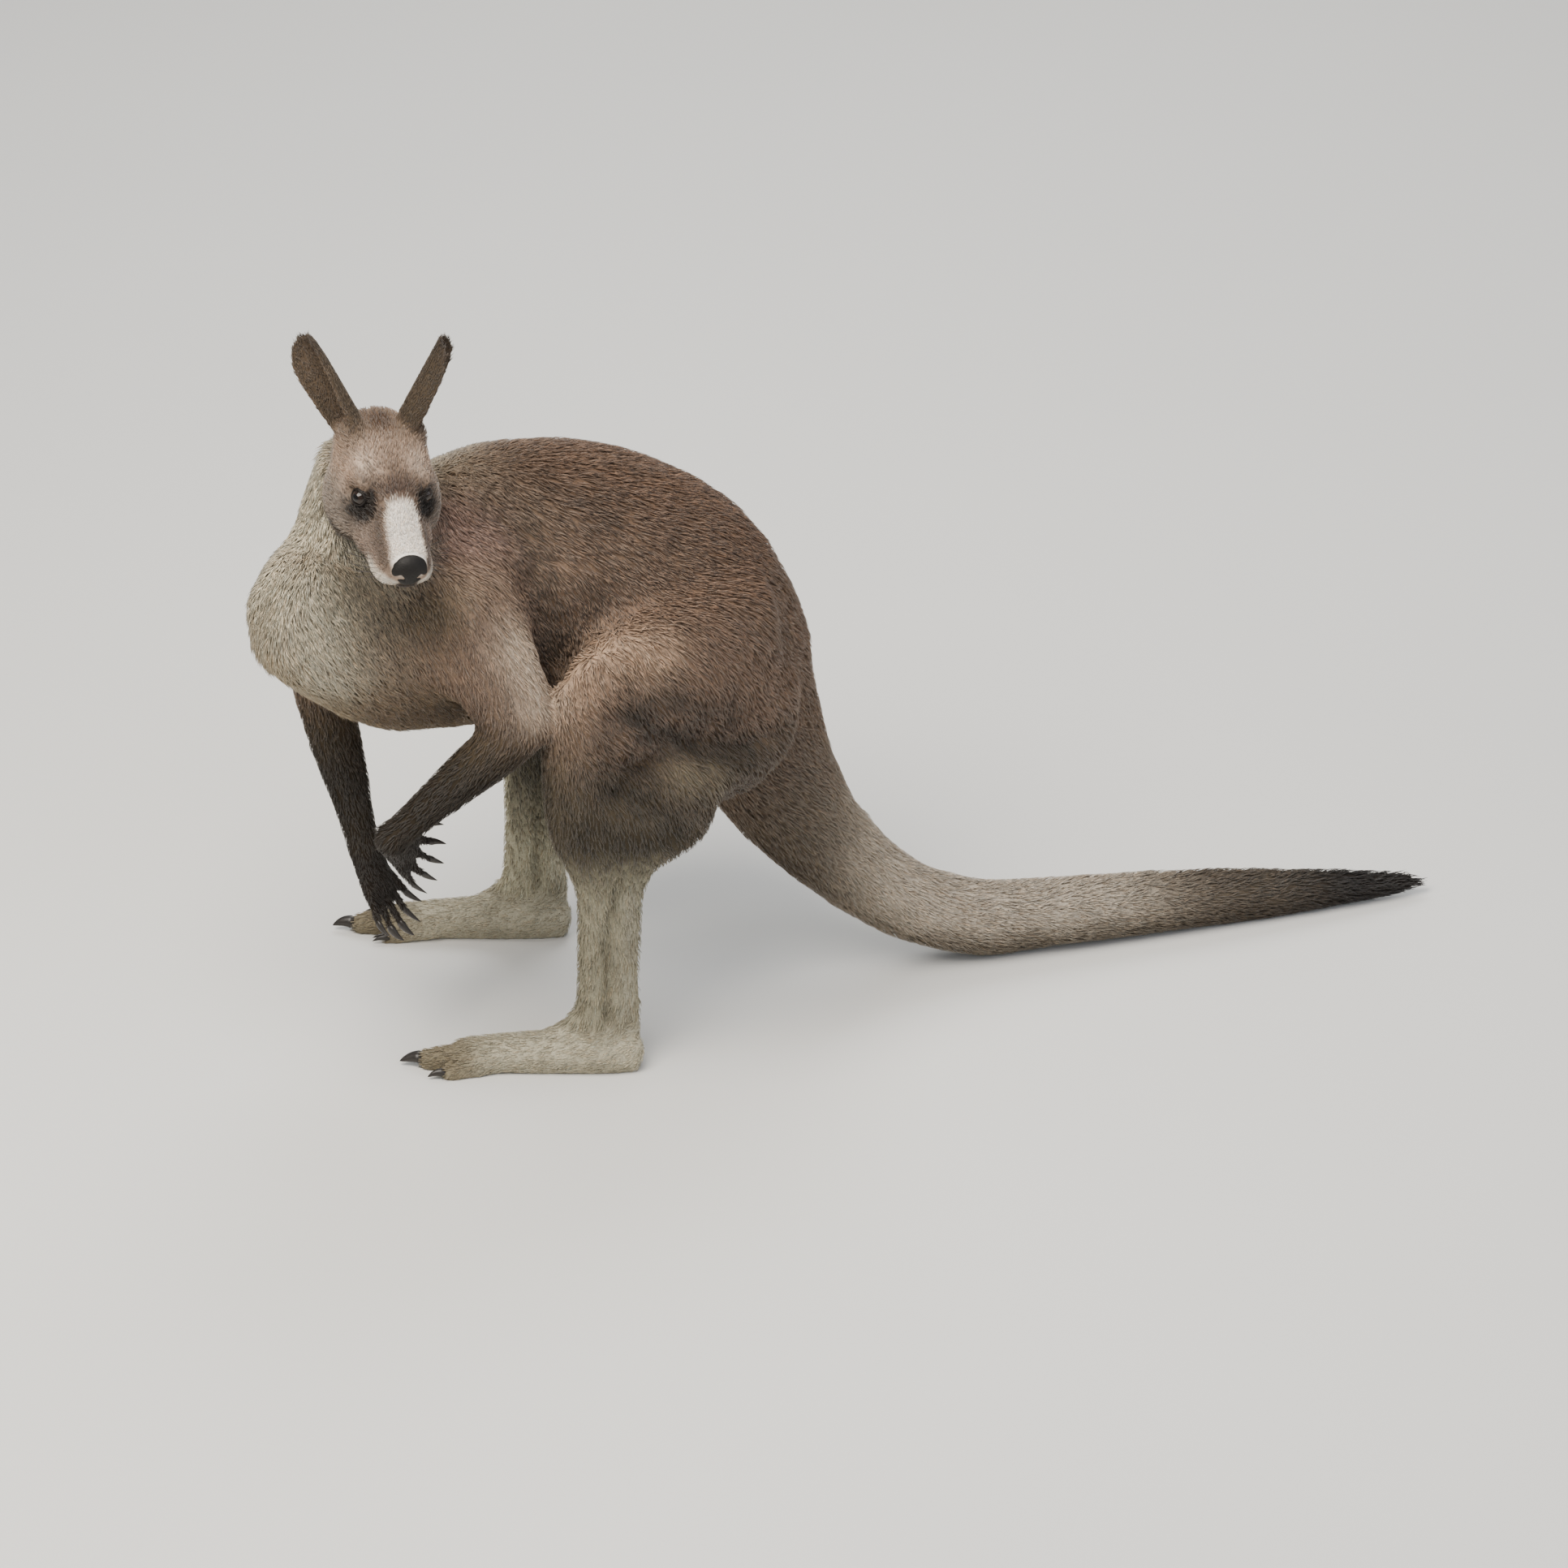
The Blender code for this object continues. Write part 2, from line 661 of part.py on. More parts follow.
def claw(name, room, base, way, hook, length, radius, home):
    """A horn that tapers along way, bends towards hook and fits over the end of its digit."""
    across = way.cross(hook).normalized()
    bm = bmesh.new()
    rings = []
    for step in range(CLAW_STEPS):
        t = step / CLAW_STEPS
        centre = base + way * length * t + hook * length * 0.45 * t * t
        tangent = (way + hook * 0.9 * t).normalized()
        up = across.cross(tangent)
        r = radius * (1 - t) ** 0.7
        rings.append([bm.verts.new(centre + (across * math.cos(a) * 0.8 + up * math.sin(a)) * r)
                      for a in (2 * math.pi * k / CLAW_SIDES for k in range(CLAW_SIDES))])
    tip = bm.verts.new(base + way * length + hook * length * 0.45)
    for one, two in zip(rings, rings[1:]):
        for k in range(CLAW_SIDES):
            n = (k + 1) % CLAW_SIDES
            bm.faces.new((one[k], one[n], two[n], two[k]))
    for k in range(CLAW_SIDES):
        bm.faces.new((rings[-1][k], rings[-1][(k + 1) % CLAW_SIDES], tip))
    bm.faces.new(rings[0][::-1])
    bmesh.ops.recalc_face_normals(bm, faces=bm.faces)
    obj = mesh_object(name, bm, home)
    booled(obj, room, "DIFFERENCE")
    keep_largest(obj)


FINGER_NAMES = ("first", "second", "third", "fourth", "fifth")
FINGER_CLAW = (0.026, 0.0058)   # length from inside the fingertip, radius
CLAW_SINK = 0.008
TOE_CLAWS = (  # toe, sideways on the toe, length, radius
    ("long", 0, 0.038, 0.0115), ("outer", 0, 0.028, 0.0075),
    ("inner", -0.0045, 0.022, 0.0040), ("inner", 0.0045, 0.022, 0.0040))
TOE_CLAW_NAMES = ("fourth", "fifth", "second", "third")


def hand_claws(name, hand, guides, home):
    room = room_for(hand.data, "guide_room_finger_claws_" + name, guides)
    place = hand_place(name)
    turn = place.to_3x3()
    for number, (_, tip, way) in zip(FINGER_NAMES, finger_rays()):
        base = place @ (tip - way * CLAW_SINK)
        length, radius = FINGER_CLAW
        claw(f"claw_{number}_finger_{name}", room, base, turn @ way, turn @ Vector((0, 0, -1)),
             length, radius, home)


def foot_claws(name, foot, guides, home):
    room = room_for(foot.data, "guide_room_toe_claws_" + name, guides)
    ankle, sign = LEGS[name][1:]
    place = foot_place(ankle)
    turn = place.to_3x3()
    for number, (toe, aside, length, radius) in zip(TOE_CLAW_NAMES, TOE_CLAWS):
        root, tip = (Vector((p[0], sign * p[1], p[2])) for p in TOES[toe][:2])
        way = Vector((tip.x - root.x, tip.y - root.y, 0)).normalized()
        base = place @ (tip + Vector((0, sign * aside, 0)))
        claw(f"claw_{number}_toe_{name}", room, base, turn @ way, Vector((0, 0, -0.3)),
             length, radius, home)


def finished(pieces):
    """Colours and smooth shading, with the origin on the floor in the middle of the box."""
    points = [v.co for obj in pieces for v in obj.data.vertices]
    low = Vector([min(p[k] for p in points) for k in range(3)])
    high = Vector([max(p[k] for p in points) for k in range(3)])
    middle = Vector(((low.x + high.x) / 2, (low.y + high.y) / 2, low.z))
    for obj in pieces:
        obj.data.transform(Matrix.Translation(-middle))
        for vert in obj.data.vertices:
            if vert.co.z < SOLE_SNAP:
                vert.co.z = 0
        obj.data.shade_smooth()
        finish(obj, *finish_of(obj.name))


# ---------------------------------------------------------------- finishes

COAT_ROUGHNESS = 0.85
FINISHES = {  # colour and roughness of what each name begins with
    "tail_tip": ((0.035, 0.026, 0.022), COAT_ROUGHNESS),
    "tail": ((0.150, 0.125, 0.105), COAT_ROUGHNESS),
    "head": ((0.190, 0.155, 0.130), COAT_ROUGHNESS),
    "neck": ((0.230, 0.205, 0.170), COAT_ROUGHNESS),
    "chest": ((0.130, 0.100, 0.080), COAT_ROUGHNESS),
    "abdomen": ((0.095, 0.066, 0.052), COAT_ROUGHNESS),
    "thigh": ((0.105, 0.074, 0.056), COAT_ROUGHNESS),
    "shank": ((0.230, 0.190, 0.155), COAT_ROUGHNESS),
    "foot": ((0.240, 0.200, 0.165), COAT_ROUGHNESS),
    "upper_arm": ((0.130, 0.100, 0.080), COAT_ROUGHNESS),
    "forearm": ((0.070, 0.050, 0.040), COAT_ROUGHNESS),
    "hand": ((0.030, 0.022, 0.019), COAT_ROUGHNESS),
    "ear": ((0.090, 0.068, 0.056), COAT_ROUGHNESS),
    "eye": ((0.012, 0.008, 0.006), 0.08),
    "claw": ((0.015, 0.013, 0.012), 0.40),
}


def finish_of(name):
    return next(look for start, look in FINISHES.items() if name.startswith(start))


def finish(obj, colour, roughness):
    material = bpy.data.materials.new(obj.name)
    material.use_nodes = True
    shader = material.node_tree.nodes["Principled BSDF"]
    shader.inputs["Base Color"].default_value = (*colour, 1)
    shader.inputs["Roughness"].default_value = roughness
    shader.inputs["Metallic"].default_value = 0
    obj.data.materials.clear()
    obj.data.materials.append(material)


clear_scene()
GUIDES = collection("guides")
KANGAROO = collection("kangaroo")
body = thinned("guide_facets", flesh_mesh(GUIDES), FLESH_TRIANGLES, GUIDES)
pieces = parted(body, "abdomen", body_cuts(), KANGAROO)
skull = thinned("guide_facets_head", head_mesh(GUIDES), HEAD_TRIANGLES, GUIDES)
pieces.update(parted(skull, "head", (), KANGAROO))
make_room(pieces, skull, "head", ("neck", "chest", "abdomen"), GUIDES)
for name in ARMS:
    arm = thinned("guide_facets_" + name, arm_mesh(name, GUIDES), ARM_TRIANGLES, GUIDES)
    pieces.update(parted(arm, "upper_arm_" + name, arm_cuts(name), KANGAROO))
    make_room(pieces, arm, name, ("chest", "abdomen", "neck", "thigh_" + name), GUIDES)
    hand_claws(name, pieces["hand_" + name], GUIDES, KANGAROO)
    foot_claws(name, pieces["foot_" + name], GUIDES, KANGAROO)
for side, sign in (("left", 1), ("right", -1)):
    room = room_for(pieces["head"].data, "guide_room_ear_" + side, GUIDES)
    ear(side, sign, room, KANGAROO)
    eye("eye_" + side, sign, pieces["head"], GUIDES, KANGAROO)
finished(list(KANGAROO.objects))
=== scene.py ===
"""Looks of the grey kangaroo: camera and lights, one skin over the frame's flesh, the coat of
tufts that grows on it, and the eyes, lids, nose, whiskers, lashes and claws.
"""

import math

import bmesh
import bpy
import numpy as np
from mathutils import Matrix, Vector
from mathutils.bvhtree import BVHTree


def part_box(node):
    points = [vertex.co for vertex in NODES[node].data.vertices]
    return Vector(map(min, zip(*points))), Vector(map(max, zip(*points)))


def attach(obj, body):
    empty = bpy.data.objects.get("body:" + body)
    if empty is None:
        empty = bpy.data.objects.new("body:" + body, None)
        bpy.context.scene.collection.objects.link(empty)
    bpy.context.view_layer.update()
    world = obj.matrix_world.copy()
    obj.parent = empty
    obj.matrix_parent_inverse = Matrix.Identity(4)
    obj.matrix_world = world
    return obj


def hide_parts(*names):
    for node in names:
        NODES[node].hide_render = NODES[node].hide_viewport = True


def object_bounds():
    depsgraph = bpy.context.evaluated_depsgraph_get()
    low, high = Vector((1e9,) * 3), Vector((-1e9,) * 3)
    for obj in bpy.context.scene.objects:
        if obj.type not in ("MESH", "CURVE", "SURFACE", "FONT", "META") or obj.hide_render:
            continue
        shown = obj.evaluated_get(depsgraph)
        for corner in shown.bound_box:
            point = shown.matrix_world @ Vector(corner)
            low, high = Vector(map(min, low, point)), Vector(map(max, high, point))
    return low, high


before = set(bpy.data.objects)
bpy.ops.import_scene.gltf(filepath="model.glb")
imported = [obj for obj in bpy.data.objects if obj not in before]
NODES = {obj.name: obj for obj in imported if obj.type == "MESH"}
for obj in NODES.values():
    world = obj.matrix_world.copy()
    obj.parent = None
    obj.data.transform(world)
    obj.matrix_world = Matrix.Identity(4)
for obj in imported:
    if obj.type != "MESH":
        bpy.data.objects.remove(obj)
CAD_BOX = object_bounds()
BODY = "root"
SIDES = {"left": 1, "right": -1}

# ---------------------------------------------------------------- camera, floor and light

CAMERA_AZIMUTH = math.radians(-15)
CAMERA_ELEVATION = math.radians(29)
CAMERA_DISTANCE = 15.0
CAMERA_LENS = 246.0
CAMERA_SENSOR = 36.0
LOOK_AT = Vector([low + (high - low) * share
                  for low, high, share in zip(*CAD_BOX, (0.467, 0.613, 0.235))])
FLOOR_SIZE = 60.0
LIGHTS = {   # azimuth and elevation in degrees, distance and size in metres, watts, colour
    "key": (-50, 58, 4.5, 3.2, 330, "#fff8ee"),
    "fill": (35, 30, 5.0, 4.0, 70, "#eef3ff"),
    "rim": (160, 50, 4.5, 3.0, 110, "#ffffff"),
}


def linear(colour):
    """An sRGB hex colour as linear red, green and blue."""
    parts = [int(colour[i:i + 2], 16) / 255 for i in (1, 3, 5)]
    return tuple(c / 12.92 if c <= 0.04045 else ((c + 0.055) / 1.055) ** 2.4 for c in parts)


def node(tree, kind, settings=(), links=()):
    """Add a node, with values for its attributes or inputs, and what is linked to its inputs."""
    made = tree.nodes.new(kind)
    for name, value in dict(settings).items():
        if isinstance(name, str) and hasattr(made, name):
            setattr(made, name, value)
        else:
            made.inputs[name].default_value = value
    for name, source in dict(links).items():
        tree.links.new(source, made.inputs[name])
    return made


def blank_material(name):
    material = bpy.data.materials.new(name)
    material.use_nodes = True
    material.node_tree.nodes.clear()
    return material, material.node_tree


def finish_material(tree, shader):
    node(tree, "ShaderNodeOutputMaterial", links={"Surface": shader.outputs["BSDF"]})


def add_object(name, data):
    obj = bpy.data.objects.new(name, data)
    bpy.context.scene.collection.objects.link(obj)
    return obj


def direction(azimuth, elevation):
    return Vector((math.sin(azimuth) * math.cos(elevation),
                   -math.cos(azimuth) * math.cos(elevation), math.sin(elevation)))


def set_camera():
    back = direction(CAMERA_AZIMUTH, CAMERA_ELEVATION)
    data = bpy.data.cameras.new("camera")
    data.lens = CAMERA_LENS
    data.sensor_width = CAMERA_SENSOR
    data.clip_end = 200
    camera = add_object("camera", data)
    camera.location = LOOK_AT + back * CAMERA_DISTANCE
    camera.rotation_euler = (-back).to_track_quat("-Z", "Y").to_euler()
    bpy.context.scene.camera = camera


def area_light(name, azimuth, elevation, distance, size, watts, colour):
    data = bpy.data.lights.new(name, "AREA")
    data.shape = "DISK"
    data.size = size
    data.energy = watts
    data.color = linear(colour)
    way = direction(math.radians(azimuth), math.radians(elevation))
    light = add_object(name, data)
    light.location = LOOK_AT + way * distance
    light.rotation_euler = (-way).to_track_quat("-Z", "Y").to_euler()


def set_studio():
    """A pale floor under a big soft key from the left, a weak fill and an even surround."""
    floor, tree = blank_material("painted_studio_floor")   # matt paint, faintly uneven
    place = node(tree, "ShaderNodeTexCoord")
    cloud = node(tree, "ShaderNodeTexNoise", {"Scale": 0.8, "Detail": 3.0},
                 {"Vector": place.outputs["Object"]})
    tint = node(tree, "ShaderNodeMix", {"data_type": "RGBA", 6: (*linear("#dad9d5"), 1),
                                        7: (*linear("#e2e1dd"), 1)}, {0: cloud.outputs["Fac"]})
    paint = node(tree, "ShaderNodeBsdfPrincipled", {"Roughness": 0.8, "Specular IOR Level": 0.2},
                 {"Base Color": tint.outputs[2]})
    finish_material(tree, paint)
    half = FLOOR_SIZE / 2
    mesh = bpy.data.meshes.new("studio_floor")
    mesh.from_pydata([(-half, -half, 0), (half, -half, 0), (half, half, 0), (-half, half, 0)],
                     [], [(0, 1, 2, 3)])
    mesh.materials.append(floor)
    add_object("studio_floor", mesh)
    for name, settings in LIGHTS.items():
        area_light(name, *settings)
    world = bpy.data.worlds.new("surround")
    world.use_nodes = True
    world.node_tree.nodes["Background"].inputs["Color"].default_value = (*linear("#eef1f4"), 1)
    world.node_tree.nodes["Background"].inputs["Strength"].default_value = 0.5
    bpy.context.scene.world = world


set_camera()
set_studio()

# ---------------------------------------------------------------- places on the frame

PARTS = sorted(n for n in NODES if not n.startswith(("eye_", "claw_")))
HEAD_DROP = math.radians(18)   # the muzzle points this far below level
EYE_FORWARD = 0.008            # the eyes lie this far in front of the head's own origin


def middle(name):
    low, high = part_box(name)
    return (Vector(low) + Vector(high)) / 2


def spot(part, x, y, z):
    """The place at these shares of a part's box, from its low corner to its high one."""
    low, high = (np.array(corner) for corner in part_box(part))
    return low + (high - low) * (x, y, z)


def head_frame():
    """From the head's own frame, muzzle along +X, left +Y, crown +Z, to the world."""
    left = (middle("eye_left") - middle("eye_right")).normalized()
    level = left.cross(Vector((0, 0, 1))).normalized()
    muzzle = level * math.cos(HEAD_DROP) - Vector((0, 0, math.sin(HEAD_DROP)))
    muzzle = (muzzle - muzzle.dot(left) * left).normalized()
    turn = Matrix((muzzle, left, muzzle.cross(left))).transposed().to_4x4()
    origin = (middle("eye_left") + middle("eye_right")) / 2 - EYE_FORWARD * muzzle
    return Matrix.Translation(origin) @ turn


HEAD = head_frame()
EYE_RADIUS = (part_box("eye_left")[1][2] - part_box("eye_left")[0][2]) / 2


def node_points(name):
    mesh = NODES[name].data
    points = np.empty(3 * len(mesh.vertices))
    mesh.vertices.foreach_get("co", points)
    return points.reshape(-1, 3)


def long_axis(name, hint):
    """The node's longest direction, turned the way that the hint points."""
    points = node_points(name)
    _, _, axes = np.linalg.svd(points - points.mean(0), full_matrices=False)
    axis = axes[0]
    return axis if axis @ np.array(hint) > 0 else -axis


# ---------------------------------------------------------------- surfaces as arrays


class Surface:
    """A triangle mesh as arrays, with its edges, for smoothing values over it."""

    def __init__(self, points, triangles):
        self.points = points
        self.triangles = triangles
        pairs = np.sort(triangles[:, [0, 1, 1, 2, 2, 0]].reshape(-1, 2), axis=1)
        self.edges = np.unique(pairs, axis=0)
        count = len(points)
        self.degree = np.maximum(np.bincount(self.edges.ravel(), minlength=count), 1)

    def mean(self, values):
        """Each vertex's mean of its neighbours' values."""
        a, b = self.edges.T
        count = len(self.points)
        out = np.empty_like(values)
        for k in range(values.shape[1]):
            out[:, k] = (np.bincount(a, values[b, k], count)
                         + np.bincount(b, values[a, k], count)) / self.degree
        return out

    def spread(self, values, times):
        for _ in range(times):
            values = 0.5 * values + 0.5 * self.mean(values)
        return values

    def smooth(self, times, inwards=0.55, outwards=-0.58):
        """Even out facets, and give back the bulk that plain smoothing would take."""
        for _ in range(times):
            for step in (inwards, outwards):
                self.points = self.points + step * (self.mean(self.points) - self.points)

    def normals(self):
        a, b, c = (self.points[self.triangles[:, k]] for k in range(3))
        faces = np.cross(b - a, c - a)
        out = np.empty_like(self.points)
        for k in range(3):
            out[:, k] = sum(np.bincount(self.triangles[:, j], faces[:, k], len(self.points))
                            for j in range(3))
        return unit(out)

    def areas(self):
        a, b, c = (self.points[self.triangles[:, k]] for k in range(3))
        return np.linalg.norm(np.cross(b - a, c - a), axis=1) / 2


def unit(vectors):
    return vectors / np.maximum(np.linalg.norm(vectors, axis=-1, keepdims=True), 1e-12)


def mesh_triangles(mesh):
    mesh.calc_loop_triangles()
    triangles = np.empty(3 * len(mesh.loop_triangles), dtype=np.int64)
    mesh.loop_triangles.foreach_get("vertices", triangles)
    points = np.empty(3 * len(mesh.vertices))
    mesh.vertices.foreach_get("co", points)
    return points.reshape(-1, 3), triangles.reshape(-1, 3)


def triangle_mesh(name, points, triangles):
    mesh = bpy.data.meshes.new(name)
    mesh.vertices.add(len(points))
    mesh.vertices.foreach_set("co", np.asarray(points, dtype=np.float32).ravel())
    mesh.loops.add(3 * len(triangles))
    mesh.loops.foreach_set("vertex_index", np.asarray(triangles, dtype=np.int32).ravel())
    mesh.polygons.add(len(triangles))
    mesh.polygons.foreach_set("loop_start", np.arange(0, 3 * len(triangles), 3, dtype=np.int32))
    mesh.update(calc_edges=True)
    mesh.shade_smooth()
    return mesh


def mesh_of(name, bm):
    """A plain mesh, shaded smooth, made from a bmesh that is then freed."""
    mesh = bpy.data.meshes.new(name)
    bm.to_mesh(mesh)
    bm.free()
    mesh.shade_smooth()
    return mesh


def set_attribute(mesh, name, kind, field, values):
    layer = mesh.attributes.new(name, kind, "POINT")
    layer.data.foreach_set(field, np.asarray(values, dtype=np.float32).ravel())


def evaluated_mesh(obj):
    bpy.context.view_layer.update()
    graph = bpy.context.evaluated_depsgraph_get()
    return bpy.data.meshes.new_from_object(obj.evaluated_get(graph))


def drop(obj):
    mesh = obj.data
    bpy.data.objects.remove(obj)
    bpy.data.meshes.remove(mesh)


def soft_noise(points, size, seed):
    """Smooth random values from -1 to 1 that change over the given size in metres."""
    lattice = np.random.default_rng(seed).uniform(-1, 1, (32, 32, 32))
    scaled = points / size
    cell = np.floor(scaled).astype(int)
    part = scaled - cell
    part = part * part * (3 - 2 * part)
    out = np.zeros(len(points))
    for corner in np.ndindex(2, 2, 2):
        weight = np.prod(np.where(corner, part, 1 - part), axis=1)
        index = (cell + corner) % 32
        out += weight * lattice[index[:, 0], index[:, 1], index[:, 2]]
    return out


def ease(low, high, values):
    """0 below low, 1 above high, smooth between."""
    t = np.clip((values - low) / (high - low), 0, 1)
    return t * t * (3 - 2 * t)


def blob(points, centre, radii):
    """1 at the centre, falling to nothing at about twice the radii."""
    return np.exp(-(((points - np.array(centre)) / np.array(radii)) ** 2).sum(1))


# ---------------------------------------------------------------- the skin

SKIN_VOXEL = 0.0032
SKIN_TRIANGLES = 105000
JOIN_DISTANCE = 1e-6
FINE_WEIGHT = 0.06            # how readily the fine parts are thinned, where 1 is freely
BOX_MARGIN = 0.01             # taken in round a part's box
HEAD_REACH = 0.19             # the head ends this far from its own origin
SMOOTH_PASSES = 26
FIELD_PASSES = 26
SHARE_PASSES = 22
SKIN_OVER_FLOOR = 0.0002
TUFTS_OVER_FLOOR = 0.0003
CLAWS_OVER_FLOOR = 0.0005
FACE_FROM = -0.050            # the head's fine mesh starts this far along its own frame
FINE_PARTS = ("head", "ear", "hand", "foot")
SOLE_HEIGHT = 0.012           # below this the coat is pressed thin against the floor

#         tuft length, width and coat depth, in metres
COAT = {
    "head": (0.0095, 0.0012, 0.0028),
    "ear": (0.0075, 0.0010, 0.0011),
    "neck": (0.0230, 0.0019, 0.0065),
    "chest": (0.0230, 0.0019, 0.0060),
    "abdomen": (0.0230, 0.0019, 0.0060),
    "thigh": (0.0210, 0.0019, 0.0055),
    "shank": (0.0140, 0.0015, 0.0036),
    "foot": (0.0095, 0.0013, 0.0024),
    "upper_arm": (0.0170, 0.0017, 0.0045),
    "forearm": (0.0120, 0.0014, 0.0030),
    "hand": (0.0070, 0.0012, 0.0016),
    "tail": (0.0170, 0.0016, 0.0045),
}


def kind_of(part):
    """The part's name without its side or place."""
    return next(kind for kind in COAT if part.startswith(kind))


def lie_of(part):
    """The way that the hairs of a part point, in the world."""
    kind = kind_of(part)
    if kind == "head":
        return np.array(HEAD.to_3x3() @ Vector((-1, 0, -0.10)))
    if kind == "ear":
        return long_axis(part, (0, 0, 1))
    if kind in ("forearm", "hand", "upper_arm"):
        return long_axis(part, (0, 0, -1)) if kind != "hand" else np.array((0.2, 0.1, -1.0))
    if kind == "foot":
        return long_axis(part, (-1, 0, 0))
    if kind == "tail":
        return long_axis(part, (1, 0, 0)) if part != "tail_base" else np.array((0.6, 0, -0.8))
    return np.array({
        "neck": (0.25, -0.10, -1.0), "chest": (0.55, -0.15, -0.85), "abdomen": (0.85, 0, -0.55),
        "thigh": (0.45, 0, -0.90), "shank": (0.10, 0, -1.0)}[kind])


def remeshed_flesh():
    """The parts of flesh as one closed surface with no seams between them."""
    bm = bmesh.new()
    for part in PARTS:
        bm.from_mesh(NODES[part].data)
    bmesh.ops.remove_doubles(bm, verts=bm.verts, dist=JOIN_DISTANCE)
    obj = add_object("flesh", mesh_of("flesh", bm))
    remesh = obj.modifiers.new("fuse", "REMESH")
    remesh.mode = "VOXEL"
    remesh.voxel_size = SKIN_VOXEL
    dense = evaluated_mesh(obj)
    drop(obj)
    return dense


def thinned(dense):
    """The surface with fewer triangles, but for the head, ears, hands and feet."""
    points, _ = mesh_triangles(dense)
    fine = np.zeros(len(points), dtype=bool)
    for part in PARTS:
        if part.startswith(FINE_PARTS):
            low, high = (np.array(corner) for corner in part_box(part))
            fine |= ((points > low - BOX_MARGIN) & (points < high + BOX_MARGIN)).all(1)
    obj = add_object("dense_flesh", dense)
    plain = obj.vertex_groups.new(name="plain")
    plain.add(np.flatnonzero(~fine).tolist(), 1.0, "REPLACE")
    plain.add(np.flatnonzero(fine).tolist(), FINE_WEIGHT, "REPLACE")
    thin = obj.modifiers.new("thin", "DECIMATE")
    thin.ratio = SKIN_TRIANGLES / (2 * len(points))
    thin.vertex_group = plain.name
    thin.use_collapse_triangulate = True
    mesh = evaluated_mesh(obj)
    drop(obj)
    return mesh


def in_head(points):
    """World points in the head's own frame."""
    back = np.array(HEAD.inverted())
    return points @ back[:3, :3].T + back[:3, 3]


def face_refined(mesh):
    """The mesh with each triangle of the face divided in four."""
    bm = bmesh.new()
    bm.from_mesh(mesh)
    low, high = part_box("head")
    back = HEAD.inverted()

    def on_face(vert):
        inside = all(low[k] - BOX_MARGIN < vert.co[k] < high[k] + BOX_MARGIN for k in range(3))
        return inside and (back @ vert.co).x > FACE_FROM

    marked = {vert for vert in bm.verts if on_face(vert)}
    edges = [e for e in bm.edges if e.verts[0] in marked and e.verts[1] in marked]
    bmesh.ops.subdivide_edges(bm, edges=edges, cuts=1, use_grid_fill=True)
    bmesh.ops.triangulate(bm, faces=bm.faces)
    bpy.data.meshes.remove(mesh)
    return mesh_of("skin_shape", bm)


def nearest_parts(points):
    """For each point, the number of the part whose CAD surface is nearest."""
    corners, faces, owners = [], [], []
    for number, part in enumerate(PARTS):
        points_here, triangles = mesh_triangles(NODES[part].data)
        faces.append(triangles + sum(len(c) for c in corners))
        corners.append(points_here)
        owners.append(np.full(len(triangles), number))
    tree = BVHTree.FromPolygons(np.concatenate(corners).tolist(), np.concatenate(faces).tolist())
    owners = np.concatenate(owners)
    return owners[[tree.find_nearest(p)[2] for p in points.tolist()]]


CLEFT_STEPS = 90
CLEFT_REACH = 40       # passes that spread the cleft to the skin round it


def close_clefts(skin):
    """Let the coat round over the clefts between the upper arms and the chest."""
    arm, chest = (np.isin(skin.part, [k for k, p in enumerate(PARTS) if kind_of(p) in kinds])
                  for kinds in (("upper_arm",), ("chest", "neck")))
    near = skin.spread(np.column_stack((arm, chest)).astype(float), CLEFT_REACH)
    amount = np.clip(5 * near[:, 0] * near[:, 1], 0, 1)[:, None]
    for _ in range(CLEFT_STEPS):
        skin.points = skin.points + 0.6 * amount * (skin.mean(skin.points) - skin.points)


THIN_Y = (1, 0.12, 1)   # so that a mark goes through to both sides of a leg


def path_blob(points, path, radius, squash=(1, 1, 1)):
    """1 on a line through places, falling away over the radius."""
    scaled = points * squash
    path = [np.array(place) * squash for place in path]
    nearest = np.full(len(points), np.inf)
    for start, end in zip(path, path[1:]):
        way = end - start
        t = np.clip((scaled - start) @ way / (way @ way), 0, 1)
        away = ((scaled - start - t[:, None] * way) ** 2).sum(1)
        nearest = np.minimum(nearest, away)
    return np.exp(-nearest / radius ** 2)


def leg_spot(part, side, x, y, z):
    """A place on a hind leg, y counted from its outer side."""
    return spot(f"{part}_{side}", x, y if side == "left" else 1 - y, z)


def leg_places(side):
    """Functions that give places on this side's thigh and on its shank."""
    return (lambda *place: leg_spot("thigh", side, *place),
            lambda *place: leg_spot("shank", side, *place))


